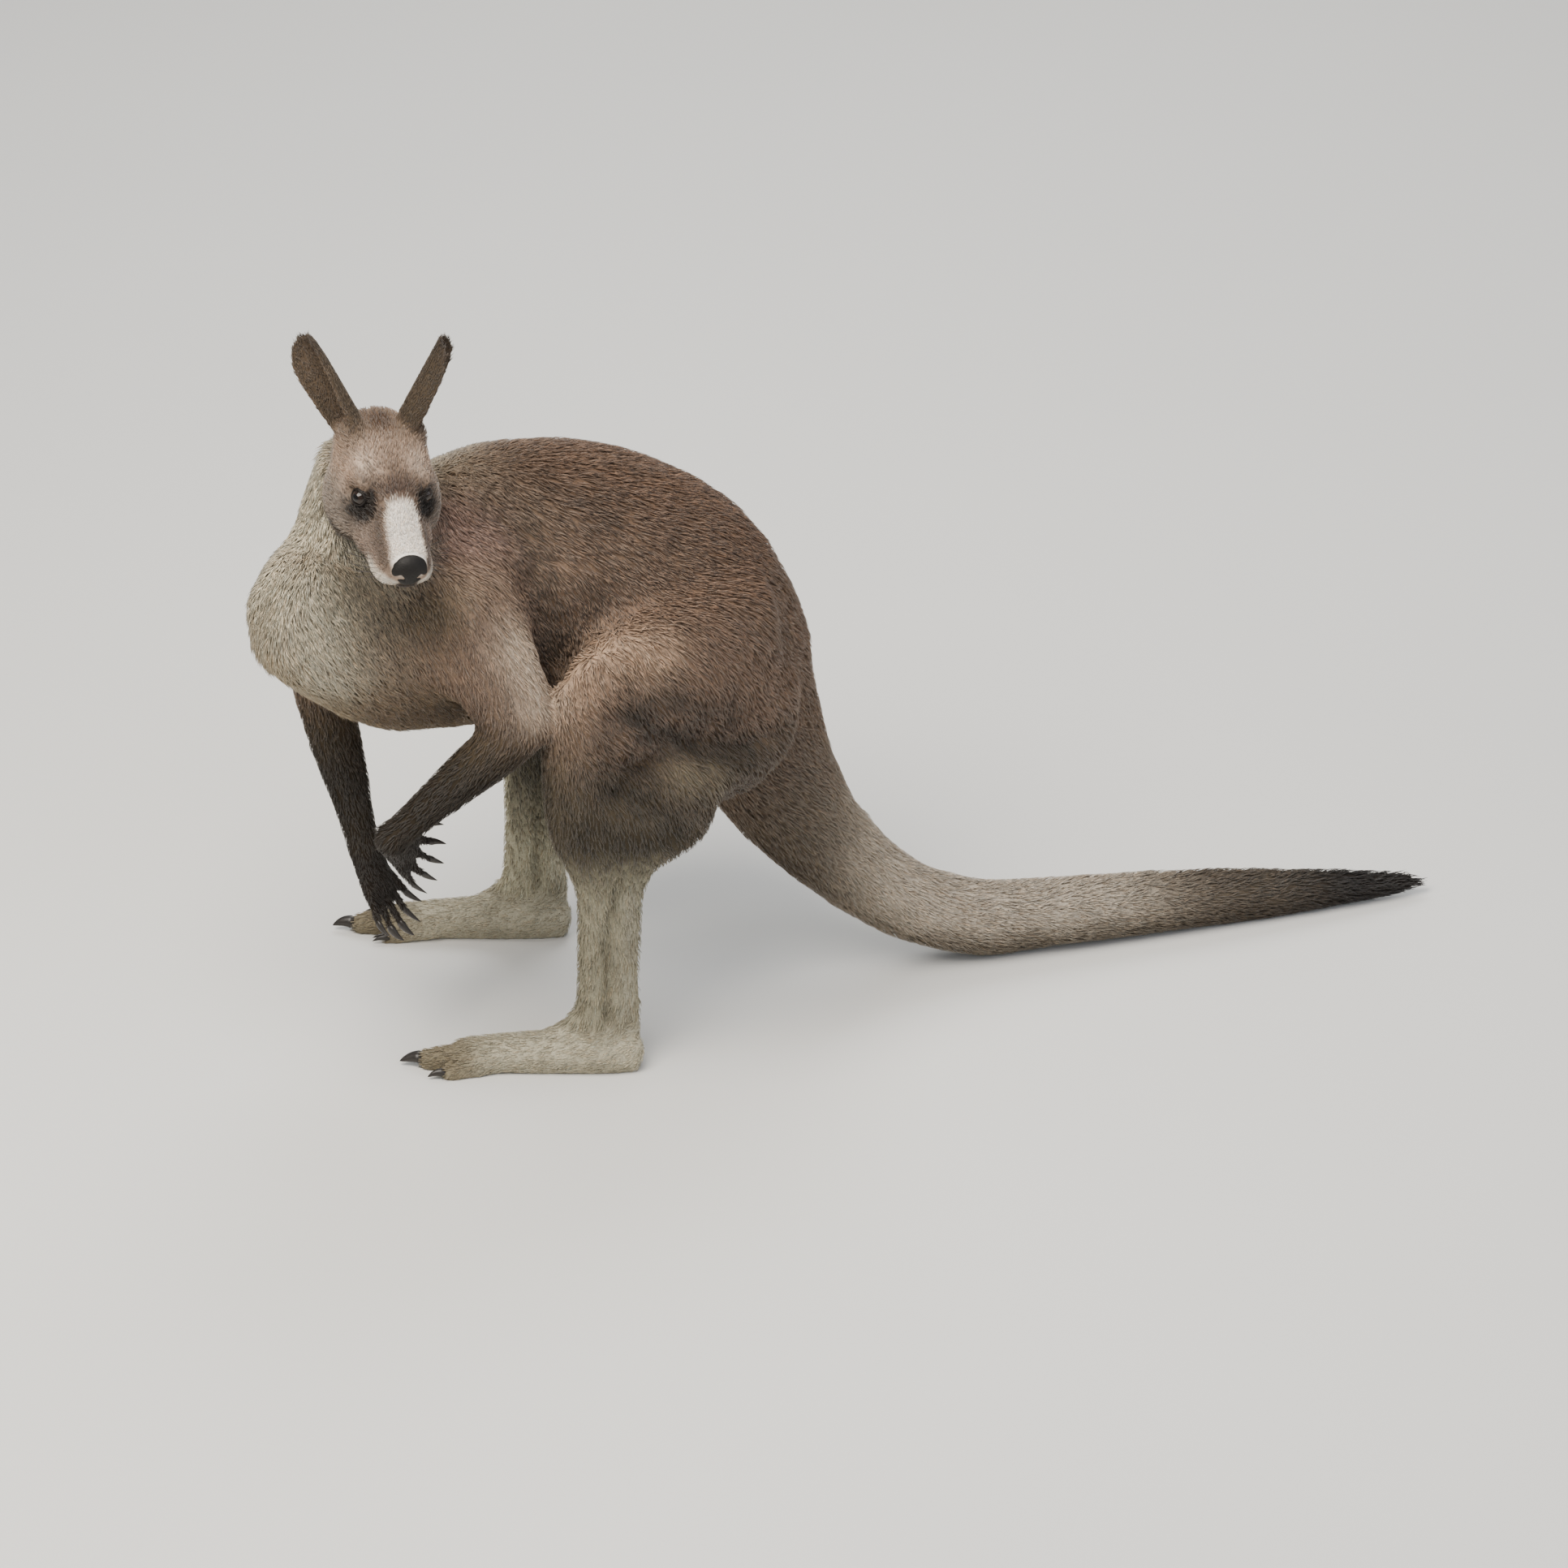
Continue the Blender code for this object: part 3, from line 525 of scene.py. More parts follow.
def muscle_paths(side):
    """Lines along the hind leg's folds and swellings: path, height, radius and squash."""
    thigh, shank = leg_places(side)
    return (
        # under the great muscle of the thigh, from its middle round to the buttock
        ((thigh(0.29, 0.05, 0.60), thigh(0.38, 0.04, 0.50), thigh(0.50, 0.18, 0.41),
          thigh(0.62, 0.25, 0.36), thigh(0.78, 0.39, 0.32), thigh(0.93, 0.58, 0.30)),
         -0.0150, 0.018, (1, 1, 1)),
        ((thigh(0.40, 0.05, 0.66), thigh(0.55, 0.15, 0.56), thigh(0.75, 0.30, 0.50),
          thigh(0.90, 0.50, 0.46)), 0.0050, 0.030, (1, 1, 1)),
        # between the calf and the knee
        ((thigh(0.27, 0.12, 0.27), thigh(0.37, 0.10, 0.21), shank(0.70, 0.04, 0.76),
          shank(0.80, 0.10, 0.66)), -0.0105, 0.015, (1, 1, 1)),
        ((thigh(0.25, 0.03, 0.60), thigh(0.22, 0.02, 0.48), thigh(0.22, 0.07, 0.35)),
         -0.0060, 0.012, (1, 1, 1)),
        ((thigh(0.52, 0.14, 0.27), thigh(0.62, 0.25, 0.22)), 0.0060, 0.026, (1, 1, 1)),
        ((thigh(0.13, 0.05, 0.52), thigh(0.12, 0.05, 0.36), shank(0.17, 0.06, 0.80)),
         0.0040, 0.018, (1, 1, 1)),
        # the fold above the calf's lower end
        ((shank(0.34, 0.21, 0.55), shank(0.56, 0.30, 0.51)), -0.0030, 0.007, (1, 1, 1)),
        # on both sides of the shank between the shin and the heel's tendon
        ((shank(0.45, 0.40, 0.50), shank(0.40, 0.40, 0.38), shank(0.40, 0.40, 0.19),
          shank(0.39, 0.40, 0.02)), -0.0100, 0.0090, THIN_Y),
        # the flank's hollow in front of the thigh
        ((thigh(0.00, 0.62, 1.00), thigh(0.05, 0.58, 0.87), thigh(0.11, 0.56, 0.64)),
         -0.0120, 0.030, (1, 1, 1)),
        ((thigh(0.12, 0.52, 0.68), thigh(0.24, 0.55, 0.86), thigh(0.42, 0.50, 0.96)),
         -0.0070, 0.024, (1, 1, 1)),
        ((thigh(0.10, 0.29, 0.66), thigh(0.24, 0.30, 0.76), thigh(0.43, 0.21, 0.75)),
         0.0050, 0.026, (1, 1, 1)),
    )


def shoulder_edge(behind):
    """Where the near shoulder ends against the flank, moved back along the body."""
    places = (spot("chest", 0.80, 0.32, 0.93), spot("chest", 0.92, 0.28, 0.87),
              spot("chest", 0.98, 0.23, 0.79), leg_spot("thigh", "left", 0.01, 0.61, 0.98),
              leg_spot("thigh", "left", 0.05, 0.58, 0.84))
    return [place + (behind, 0, 0) for place in places]


def sculpt_muscles(skin):
    """The shoulder's edge, and the folds and swellings of the hind legs' muscles."""
    push = -0.007 * path_blob(skin.points, shoulder_edge(0.008), 0.015)
    push += 0.003 * path_blob(skin.points, shoulder_edge(-0.028), 0.024)
    for side in SIDES:
        for path, height, radius, squash in muscle_paths(side):
            push += height * path_blob(skin.points, path, radius, squash)
    skin.points = skin.points + push[:, None] * skin.normals()


def sculpt_face(skin):
    """Brows, hollows before the eyes, whisker pads and the mouth, pushed along the normals."""
    local = in_head(skin.points)
    fold = np.column_stack((local[:, 0], np.abs(local[:, 1]), local[:, 2]))
    push = np.zeros(len(local))
    push += 0.0012 * blob(fold, (-0.004, 0.040, 0.026), (0.018, 0.012, 0.007))    # brow
    push -= 0.0035 * blob(fold, (0.038, 0.034, -0.006), (0.018, 0.012, 0.012))    # tear hollow
    push += 0.0020 * blob(fold, (0.018, 0.048, -0.026), (0.022, 0.012, 0.009))    # cheekbone
    push += 0.0030 * blob(fold, (0.098, 0.030, -0.050), (0.018, 0.012, 0.012))    # whisker pad
    push += 0.0015 * blob(fold, (0.060, 0.000, 0.014), (0.050, 0.010, 0.010))     # nasal bridge
    push -= 0.0035 * mouth_line(local)
    push *= ease(0.24, 0.16, np.linalg.norm(local, axis=1))
    skin.points = skin.points + push[:, None] * skin.normals()


MOUTH_CORNER = 0.040
MOUTH_FRONT = 0.128


def mouth_line(local):
    """1 on the line between the lips, from the corner of the mouth to the front."""
    along = np.clip((local[:, 0] - MOUTH_CORNER) / (MOUTH_FRONT - MOUTH_CORNER), 0, 1)
    height = -0.064 + 0.006 * np.sin(math.pi * along) + 0.006 * along ** 3
    near = np.exp(-((local[:, 2] - height) / 0.0022) ** 2)
    return near * ease(MOUTH_CORNER - 0.004, MOUTH_CORNER + 0.006, local[:, 0])


LID_OPENING = math.radians(70)   # skin this near an eye's axis tucks in behind the lids


def seat_eyes(skin):
    """Tuck the skin behind each eye's lids."""
    for side, sign in SIDES.items():
        centre = np.array(middle("eye_" + side))
        axis = np.array(eye_axis(sign))
        offset = skin.points - centre
        distance = np.linalg.norm(offset, axis=1)
        angle = np.arccos(np.clip(offset @ axis / np.maximum(distance, 1e-9), -1, 1))
        near = distance < 1.9 * EYE_RADIUS
        hidden = near & (angle < LID_OPENING)
        target = np.where(hidden, 0.90 * EYE_RADIUS, np.maximum(distance, 1.03 * EYE_RADIUS))
        blend = np.where(hidden, 1.0, ease(1.5 * EYE_RADIUS, 1.1 * EYE_RADIUS, distance))
        radius = distance + (target - distance) * blend * near
        skin.points = np.where(near[:, None],
                               centre + offset * (radius / np.maximum(distance, 1e-9))[:, None],
                               skin.points)


def eye_axis(sign):
    """The way that an eye looks, out of the socket."""
    return (HEAD.to_3x3() @ Vector((0.42, 0.86 * sign, 0.28))).normalized()


def make_skin_surface():
    points, triangles = mesh_triangles(face_refined(thinned(remeshed_flesh())))
    skin = Surface(points, triangles)
    skin.smooth(SMOOTH_PASSES)
    skin.part = nearest_parts(skin.points)
    close_clefts(skin)
    table = np.array([(*COAT[kind_of(p)], *lie_of(p) / np.linalg.norm(lie_of(p))) for p in PARTS])
    fields = skin.spread(table[skin.part], FIELD_PASSES)
    skin.length, skin.width, skin.depth = fields[:, 0], fields[:, 1], fields[:, 2]
    skin.lie = fields[:, 3:6]
    local = in_head(skin.points)
    muzzle = ease(0.010, 0.115, local[:, 0]) * (np.linalg.norm(local, axis=1) < HEAD_REACH)
    skin.length = skin.length * (1 - 0.55 * muzzle)
    skin.depth = skin.depth * (1 - 0.45 * muzzle)
    near_floor = ease(0.0, SOLE_HEIGHT, skin.points[:, 2])
    skin.depth = skin.depth * (0.12 + 0.88 * near_floor)
    skin.colour = markings(skin)
    skin.points = skin.points - skin.depth[:, None] * skin.normals()
    sculpt_muscles(skin)
    sculpt_face(skin)
    seat_eyes(skin)
    skin.points[:, 2] = np.maximum(skin.points[:, 2], SKIN_OVER_FLOOR)
    skin.normal = skin.normals()
    return skin


# ---------------------------------------------------------------- markings of skin and coat

DARK_BACK = "#705846"
SPINE = "#4f3f32"
WARM_BACK = "#765c49"
FLANK = "#776250"
BELLY = "#8d8069"
SHOULDER = "#8a7362"
CHEST_LOW = "#8a785f"
PINK_SHOULDER = "#8a6f63"
SHOULDER_MAUVE_AND_HIGHLIGHT = "#96796c"
PALE_CHEST = "#a29378"
CHIN_SHADE = "#574b38"
THROAT = "#c6bea9"
NAPE = "#8f806b"
THIGH = "#7d6655"
THIGH_RIDGE_FUR_AND_HIGHLIGHT = "#b89c83"
KNEE_SHADE = "#453e31"
KNEE_HIGHLIGHT = "#a2947b"
HOLLOW_SHADE = "#4a3b2c"
FOLD_SHADE = "#2e261b"
KNEE = "#6f6553"
SHIN = "#c8c2a7"
SHIN_BACK = "#dbd5bf"
FOOT = "#b9b29c"
TOES = "#7b7059"
ELBOW = "#d6c3af"
FOREARM = "#383023"
HAND = "#231c15"
TAIL_ROOT = "#4d4234"
TAIL_TOP = "#8f8373"
TAIL_SILVER = "#c2b6a5"
TAIL_DARK = "#50463a"
TAIL_UNDER_SHADE = "#6a6050"
TAIL_BLACK = "#201a15"
FACE = "#9c8674"
CHEEK = "#80766c"
JAW_SHADE = "#40372b"
CROWN = "#4b3829"
BROW = "#bba897"
BETWEEN_EYES = "#54443a"
EYE_PATCH_AND_SHADE = "#1e1711"
BRIDGE = "#e6ded4"
MUZZLE_SIDE = "#7c6c61"
STREAK = "#463b33"
LIP = "#cbc3b6"
MOUTH_SHADOW = "#231d18"
EAR_BACK = "#4b4033"
EAR_INSIDE = "#57493b"
EAR_TIP = "#332a21"


def paint(colours, colour, amount):
    """Lay one colour over others by an amount from 0 to 1."""
    return colours + (np.array(linear(colour)) - colours) * np.clip(amount, 0, 1)[:, None]


def shares(skin):
    """How much of each vertex belongs to each kind of part, shading into one another."""
    own = [np.isin(skin.part, [k for k, p in enumerate(PARTS) if kind_of(p) == kind])
           for kind in COAT]
    return dict(zip(COAT, skin.spread(np.column_stack(own).astype(float), SHARE_PASSES).T))


def markings(skin):
    """The coat's colour at each vertex, from its part, its place on the body and its facing."""
    base = {"head": FACE, "ear": EAR_BACK, "neck": NAPE, "chest": SHOULDER, "abdomen": FLANK,
            "thigh": THIGH, "shank": KNEE, "foot": FOOT, "upper_arm": SHOULDER,
            "forearm": FOREARM, "hand": HAND, "tail": TAIL_TOP}
    share = shares(skin)
    colours = sum(share[kind][:, None] * np.array(linear(base[kind])) for kind in COAT)
    facing = skin.normals()
    uneven = 0.5 * soft_noise(skin.points, 0.055, 1) + 0.5 * soft_noise(skin.points, 0.020, 2)
    for mark in (mark_trunk, mark_hind_legs, mark_fore_legs, mark_tail, mark_face, mark_ears):
        for colour, amount in mark(skin, share, facing, uneven):
            colours = paint(colours, colour, amount)
    return colours * (1 + 0.10 * uneven)[:, None]


def mark_trunk(skin, share, facing, uneven):
    """Dark and warm along the back, pale down the throat and the front of the chest, painted shade
    in hollows.
    """
    up = facing[:, 2]
    points = skin.points
    body = share["abdomen"] + share["chest"]
    top = share["abdomen"] * ease(0.10, 0.75, up + 0.2 * uneven)
    yield DARK_BACK, 0.85 * top
    yield WARM_BACK, 0.6 * share["abdomen"] * ease(0.0, 0.9, uneven + up - 0.3)
    yield BELLY, 0.9 * body * ease(-0.45, -0.9, up)
    pink = path_blob(points, (spot("chest", 0.74, 0.2, 0.9),
                              spot("upper_arm_left", 0.6, 0, 0.9)), 0.07)
    yield PINK_SHOULDER, 0.6 * pink
    front = facing @ np.array((-0.80, -0.50, -0.30))
    ahead = share["chest"] * ease(0.1, 0.8, front + 0.15 * uneven)
    yield CHEST_LOW, 0.8 * ahead
    pale = ease(spot("chest", 0.48, 0, 0)[0], spot("chest", 0.12, 0, 0)[0], points[:, 0])
    yield PALE_CHEST, 0.85 * ahead * pale
    throat = share["neck"] * ease(-0.15, 0.45, front + 0.15 * uneven)
    side = facing @ np.array((-0.85, 0.50, 0.10))
    yield THROAT, np.maximum(throat, 0.8 * share["neck"] * ease(0.1, 0.7, side))
    away = facing @ np.array((0.23, 0.85, -0.30))
    yield NAPE, 0.85 * share["neck"] * ease(0.15, 0.6, away)
    band = path_blob(points, (spot("neck", 0.22, 0.10, 0.40), spot("chest", 0.18, 0.05, 0.60),
                              spot("chest", 0.24, 0.05, 0.42)), 0.055)
    yield THROAT, 0.85 * band * (share["neck"] + share["chest"])
    shade = path_blob(points, (spot("neck", 0.38, 0.10, 0.38), spot("chest", 0.44, 0.05, 0.68),
                               spot("chest", 0.62, 0.05, 0.66)), 0.050)
    yield CHIN_SHADE, 0.85 * shade
    spine = share["abdomen"] * ease(0.90, 0.99, up)
    yield SPINE, 0.25 * spine
    ribs = path_blob(points, (spot("abdomen", 0.02, 0.34, 0.95), spot("abdomen", 0.14, 0.27, 0.90),
                              spot("abdomen", 0.24, 0.24, 0.87)), 0.042)
    yield SPINE, 0.5 * ribs
    # painted shade in the groove behind the near shoulder's edge
    behind = path_blob(points, shoulder_edge(0.016), 0.024)
    yield HOLLOW_SHADE, 0.55 * behind
    # pale mauve fur on the shoulder's top, lightened further by a painted highlight
    hump = path_blob(points, (spot("neck", 0.76, 0.38, 0.55),
                              spot("chest", 0.80, 0.22, 0.84)), 0.035)
    yield SHOULDER_MAUVE_AND_HIGHLIGHT, 0.75 * hump
    before = path_blob(points, shoulder_edge(-0.030), 0.022)
    yield PINK_SHOULDER, 0.6 * before
    for side in SIDES:
        thigh, _ = leg_places(side)
        # painted shade in the flank's hollow in front of each thigh, and above it
        hollow = path_blob(points, (thigh(0.0, 0.6, 0.95), thigh(0.05, 0.58, 0.80),
                                    thigh(0.10, 0.56, 0.62)), 0.034)
        yield HOLLOW_SHADE, 0.85 * hollow * (1 - share["upper_arm"])
        above = path_blob(points, (thigh(0.12, 0.55, 0.72), thigh(0.24, 0.55, 0.90)), 0.030)
        yield HOLLOW_SHADE, 0.55 * above


def mark_hind_legs(skin, share, facing, uneven):
    """Pale fur and a painted highlight on the thigh's ridge, painted shade in the folds, pale shins
    and feet, dark toes.
    """
    up = facing[:, 2]
    points = skin.points
    for side in SIDES:
        thigh, shank = leg_places(side)
        # pale fur along the thigh's front ridge, lightened further by a painted highlight
        ridge = path_blob(points, (thigh(0.08, 0.29, 0.64), thigh(0.24, 0.30, 0.76),
                                   thigh(0.42, 0.21, 0.75)), 0.034)
        yield THIGH_RIDGE_FUR_AND_HIGHLIGHT, 0.85 * ridge * (share["thigh"] + share["abdomen"])
        # painted shade in the fold under the thigh's great muscle, over the lower thigh and knee,
        # in the crease above the calf and across the shank's top
        under = path_blob(points, (thigh(0.29, 0.05, 0.57), thigh(0.38, 0.04, 0.48),
                                   thigh(0.50, 0.18, 0.39), thigh(0.62, 0.25, 0.34),
                                   thigh(0.78, 0.39, 0.30)), 0.020)
        top, bottom = spot("thigh_" + side, 0, 0, 0.44)[2], spot("thigh_" + side, 0, 0, 0.30)[2]
        knee = ease(top, bottom, points[:, 2] + 0.02 * uneven) * (share["thigh"] + share["shank"])
        yield KNEE_SHADE, 0.5 * knee
        below = path_blob(points, (thigh(0.22, 0.05, 0.38), thigh(0.42, 0.10, 0.36),
                                   thigh(0.62, 0.25, 0.26)), 0.050)
        yield HOLLOW_SHADE, 0.45 * below
        # painted highlight on the swelling above the knee
        lump = path_blob(points, (thigh(0.50, 0.14, 0.30), thigh(0.62, 0.25, 0.24)), 0.026)
        yield KNEE_HIGHLIGHT, 0.85 * lump
        yield FOLD_SHADE, 0.95 * under
        above = path_blob(points, (thigh(0.34, 0.04, 0.60), thigh(0.44, 0.09, 0.62),
                                   thigh(0.57, 0.18, 0.51), thigh(0.70, 0.30, 0.44)), 0.027)
        yield FOLD_SHADE, 0.70 * above
        calf = path_blob(points, (thigh(0.27, 0.12, 0.27), thigh(0.37, 0.10, 0.21),
                                  shank(0.70, 0.04, 0.76), shank(0.80, 0.10, 0.66)), 0.018)
        yield FOLD_SHADE, 0.75 * calf
        low = path_blob(points, (shank(0.24, 0.08, 0.72), shank(0.45, 0.05, 0.67),
                                 shank(0.68, 0.10, 0.66)), 0.040)
        yield FOLD_SHADE, 0.92 * low
        low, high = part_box("foot_" + side)
        near = (points[:, 1] - spot("abdomen", 0, 0.5, 0)[1]) * (-1 if side == "left" else 1) > 0
        toes = share["foot"] * ease(low[0] + 0.115, low[0] + 0.035, points[:, 0]) * near
        yield TOES, 0.9 * toes
        top = spot("shank_" + side, 0, 0, 0.62)[2]
        shin = ease(top + 0.02, top - 0.08, points[:, 2] + 0.02 * uneven) * share["shank"] * near
        yield SHIN, shin
        tendon = path_blob(points, (shank(0.55, 0.4, 0.45), shank(0.53, 0.4, 0.02)), 0.012, THIN_Y)
        yield SHIN_BACK, 0.8 * tendon * share["shank"] * near
        # painted shade in the groove between the shin and the heel's tendon
        groove = path_blob(points, (shank(0.42, 0.4, 0.46), shank(0.40, 0.4, 0.30),
                                    shank(0.40, 0.4, 0.04)), 0.009, THIN_Y)
        yield HOLLOW_SHADE, 0.22 * groove * share["shank"] * near
    # painted shade on the shanks' inner sides, stronger higher up
    inner = facing[:, 1] * -np.sign(points[:, 1] + 0.004)
    high = ease(spot("shank_right", 0, 0, 0.0)[2], spot("shank_right", 0, 0, 0.5)[2], points[:, 2])
    yield FOLD_SHADE, 0.9 * share["shank"] * ease(0.1, 0.6, inner) * high
    # painted shade on the thighs' downward faces
    yield HOLLOW_SHADE, 0.5 * share["thigh"] * ease(-0.2, -0.9, up)


def mark_fore_legs(skin, share, facing, uneven):
    """Grey above the elbow, which is pale, darkening to near-black hands."""
    points = skin.points
    elbow = path_blob(points, (spot("upper_arm_left", 0.76, 0.17, 0.52),
                               spot("upper_arm_left", 0.86, 0.18, 0.36),
                               spot("upper_arm_left", 0.88, 0.12, 0.20)), 0.042)
    yield ELBOW, 0.95 * elbow * share["upper_arm"]
    # painted highlight on the upper arms where they face up
    yield PALE_CHEST, 0.25 * share["upper_arm"] * ease(0.0, 0.8, facing[:, 2])
    for side in SIDES:
        low, high = (Vector(c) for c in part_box("forearm_" + side))
        upper = ease(low.z + 0.45 * (high.z - low.z), high.z, points[:, 2])
        own = skin.spread((skin.part == PARTS.index("forearm_" + side))[:, None].astype(float), 12)
        yield HAND, 0.6 * own[:, 0] * (1 - upper)
        yield CHIN_SHADE, 0.35 * own[:, 0] * upper


def mark_tail(skin, share, facing, uneven):
    """Silver below and past the bend, with painted shade underneath, darkening to a black tip."""
    start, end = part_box("tail_base")[0][0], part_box("tail_tip")[1][0]
    along = (skin.points[:, 0] - start) / (end - start)
    tail = share["tail"]
    up = facing[:, 2] + 0.25 * uneven
    yield TAIL_ROOT, tail * ease(0.22, 0.06, along)
    silver = ease(0.10, 0.26, along) * ease(0.70, 0.50, along)
    yield TAIL_SILVER, 0.85 * tail * silver
    # painted shade on the tail's underside
    under = tail * ease(0.2, -0.6, up) * ease(0.05, 0.3, along)
    yield TAIL_UNDER_SHADE, 0.85 * under
    yield TAIL_DARK, 0.9 * tail * ease(0.56, 0.74, along + 0.04 * uneven)
    yield TAIL_BLACK, tail * ease(0.76, 0.90, along)


def mark_face(skin, share, facing, uneven):
    """Dark fur and painted shade round the eyes, dark beside a white bridge, white lips, a brown
    crown.
    """
    local = in_head(skin.points)
    fold = np.column_stack((local[:, 0], np.abs(local[:, 1]), local[:, 2]))
    x, y, z = fold.T
    head = share["head"]
    cheek = ease(0.012, -0.022, z + 0.006 * uneven)
    yield CHEEK, 0.9 * head * cheek * ease(0.07, 0.02, x)
    # painted shade along the lower edge of the cheek, under the jaw
    yield JAW_SHADE, 0.9 * head * ease(-0.046, -0.060, z) * ease(0.080, 0.045, x)
    crown = blob(fold, (-0.088, 0, 0.046), (0.032, 0.030, 0.045))
    yield CROWN, 1.2 * head * crown
    for sign in (-1, 1):
        ear = blob(local, (-0.074, 0.043 * sign, 0.042), (0.024, 0.024, 0.026))
        yield EAR_BACK, 0.85 * head * ear
    brow = blob(fold, (-0.016, 0.040, 0.034), (0.022, 0.018, 0.012))
    yield BROW, 0.8 * head * brow
    parting = blob(fold, (-0.012, 0.002, 0.036), (0.034, 0.013, 0.02))
    yield CROWN, 0.45 * head * parting
    middle_brown = blob(fold, (0.020, 0, 0.022), (0.022, 0.034, 0.026))
    yield BETWEEN_EYES, 1.2 * head * middle_brown
    side = blob(fold, (0.066, 0.040, -0.032), (0.044, 0.020, 0.026))
    yield MUZZLE_SIDE, 0.95 * head * side
    width = (0.0225 + 0.02 * np.clip(x - 0.05, 0, 0.1)) * (0.62 + 0.38 * ease(0.032, 0.060, x))
    edge = y + 0.004 * uneven
    bridge = ease(0.030, 0.048, x) * ease(width + 0.005, width - 0.004, edge)
    bridge = bridge * ease(-0.036, -0.014, z)
    streak = ease(0.034, 0.050, x) * np.exp(-((y - width - 0.009) / 0.008) ** 2)
    streak = streak * ease(-0.046, -0.026, z)
    yield STREAK, 0.8 * head * streak
    # dark fur round each eye, with painted shade under the brow
    patch = 2.4 * blob(fold, (0.018, 0.043, -0.003), (0.024, 0.021, 0.024))
    yield EYE_PATCH_AND_SHADE, head * patch
    yield BRIDGE, head * bridge
    lip = ease(0.066, 0.090, x) * ease(-0.036, -0.046, z) * ease(0.008, 0.018, y)
    yield LIP, 0.95 * head * lip
    # painted shadow under the nose over the chin, and painted shade in the line between the lips
    chin = ease(0.088, 0.104, x) * ease(-0.036, -0.048, z) * ease(0.020, 0.010, y)
    yield MOUTH_SHADOW, 0.9 * head * chin
    yield MOUTH_SHADOW, 0.95 * head * mouth_line(local)


def mark_ears(skin, share, facing, uneven):
    """Dark behind and darkest at the tip, browner inside."""
    for side, sign in SIDES.items():
        name = "ear_" + side
        own = skin.spread((skin.part == PARTS.index(name))[:, None].astype(float), 2)[:, 0]
        opening = np.array(HEAD.to_3x3() @ Vector((0.47, 0.88 * sign, 0.0)))
        yield EAR_INSIDE, 0.8 * own * ease(-0.1, 0.5, facing @ opening)
        low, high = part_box(name)
        tip = ease(low[2] + 0.6 * (high[2] - low[2]), high[2], skin.points[:, 2])
        yield EAR_TIP, 0.7 * own * tip


# ---------------------------------------------------------------- coat of tufts

BAKE_MAP = "OFBake"
PATCH = 0.003
COATS = {   # the parts that each piece of coat grows on, and its number of tufts
    "coat_head": (("head", "ear_left", "ear_right"), 19800),
    "coat_neck": (("neck",), 15500),
    "coat_chest": (("chest",), 18500),
    "coat_abdomen": (("abdomen",), 19800),
    "coat_thighs": (("thigh_left", "thigh_right"), 19800),
    "coat_legs": (("shank_left", "shank_right", "foot_left", "foot_right"), 18500),
    "coat_arms": (("upper_arm_left", "upper_arm_right", "forearm_left", "forearm_right",
                   "hand_left", "hand_right"), 17500),
    "coat_tail": (("tail_base", "tail_bend", "tail_middle", "tail_tip"), 19000),
}
LIE_WANDER = 0.22      # how far tufts stray from the lie, in clumps
LIE_JITTER = 0.13      # and each by itself
CLUMP = 0.016
LENGTHS = (0.7, 1.25)  # the least and most of a tuft's own length, width, depth and bend
WIDTHS = (0.75, 1.3)
DEPTHS = (0.65, 1.15)
BEND = 0.10
SHADE_SPREAD = 0.13
WARMTH_SPREAD = 0.035


def unwrapped(points, triangles):
    """Corner coordinates of an unwrap of this piece of the skin's own shape."""
    obj = add_object("unwrap", triangle_mesh("unwrap", points, triangles))
    bpy.context.view_layer.objects.active = obj
    obj.select_set(True)
    obj.data.uv_layers.new(name=BAKE_MAP)
    bpy.ops.object.mode_set(mode="EDIT")
    bpy.ops.mesh.select_all(action="SELECT")
    bpy.ops.uv.smart_project(angle_limit=math.radians(66), island_margin=0.002)
    bpy.ops.object.mode_set(mode="OBJECT")
    places = np.empty(6 * len(triangles))
    obj.data.uv_layers[BAKE_MAP].data.foreach_get("uv", places)
    drop(obj)
    return places.reshape(-1, 3, 2)


def bald(points):
    """How bare the face is at each point: the nose leather, the eyes' openings and the mouth."""
    local = in_head(points)
    out = ease(0.0, 1.0, (local[:, 0] - 0.112) / 0.006) * ease(-0.052, -0.044, local[:, 2])
    out = out * (np.linalg.norm(local, axis=1) < HEAD_REACH)
    for side, sign in SIDES.items():
        offset = points - np.array(middle("eye_" + side))
        distance = np.linalg.norm(offset, axis=1)
        angle = np.arccos(np.clip(offset @ np.array(eye_axis(sign)) / distance, -1, 1))
        out = np.maximum(out, (distance < 1.35 * EYE_RADIUS) & (angle < math.radians(72)))
    return out


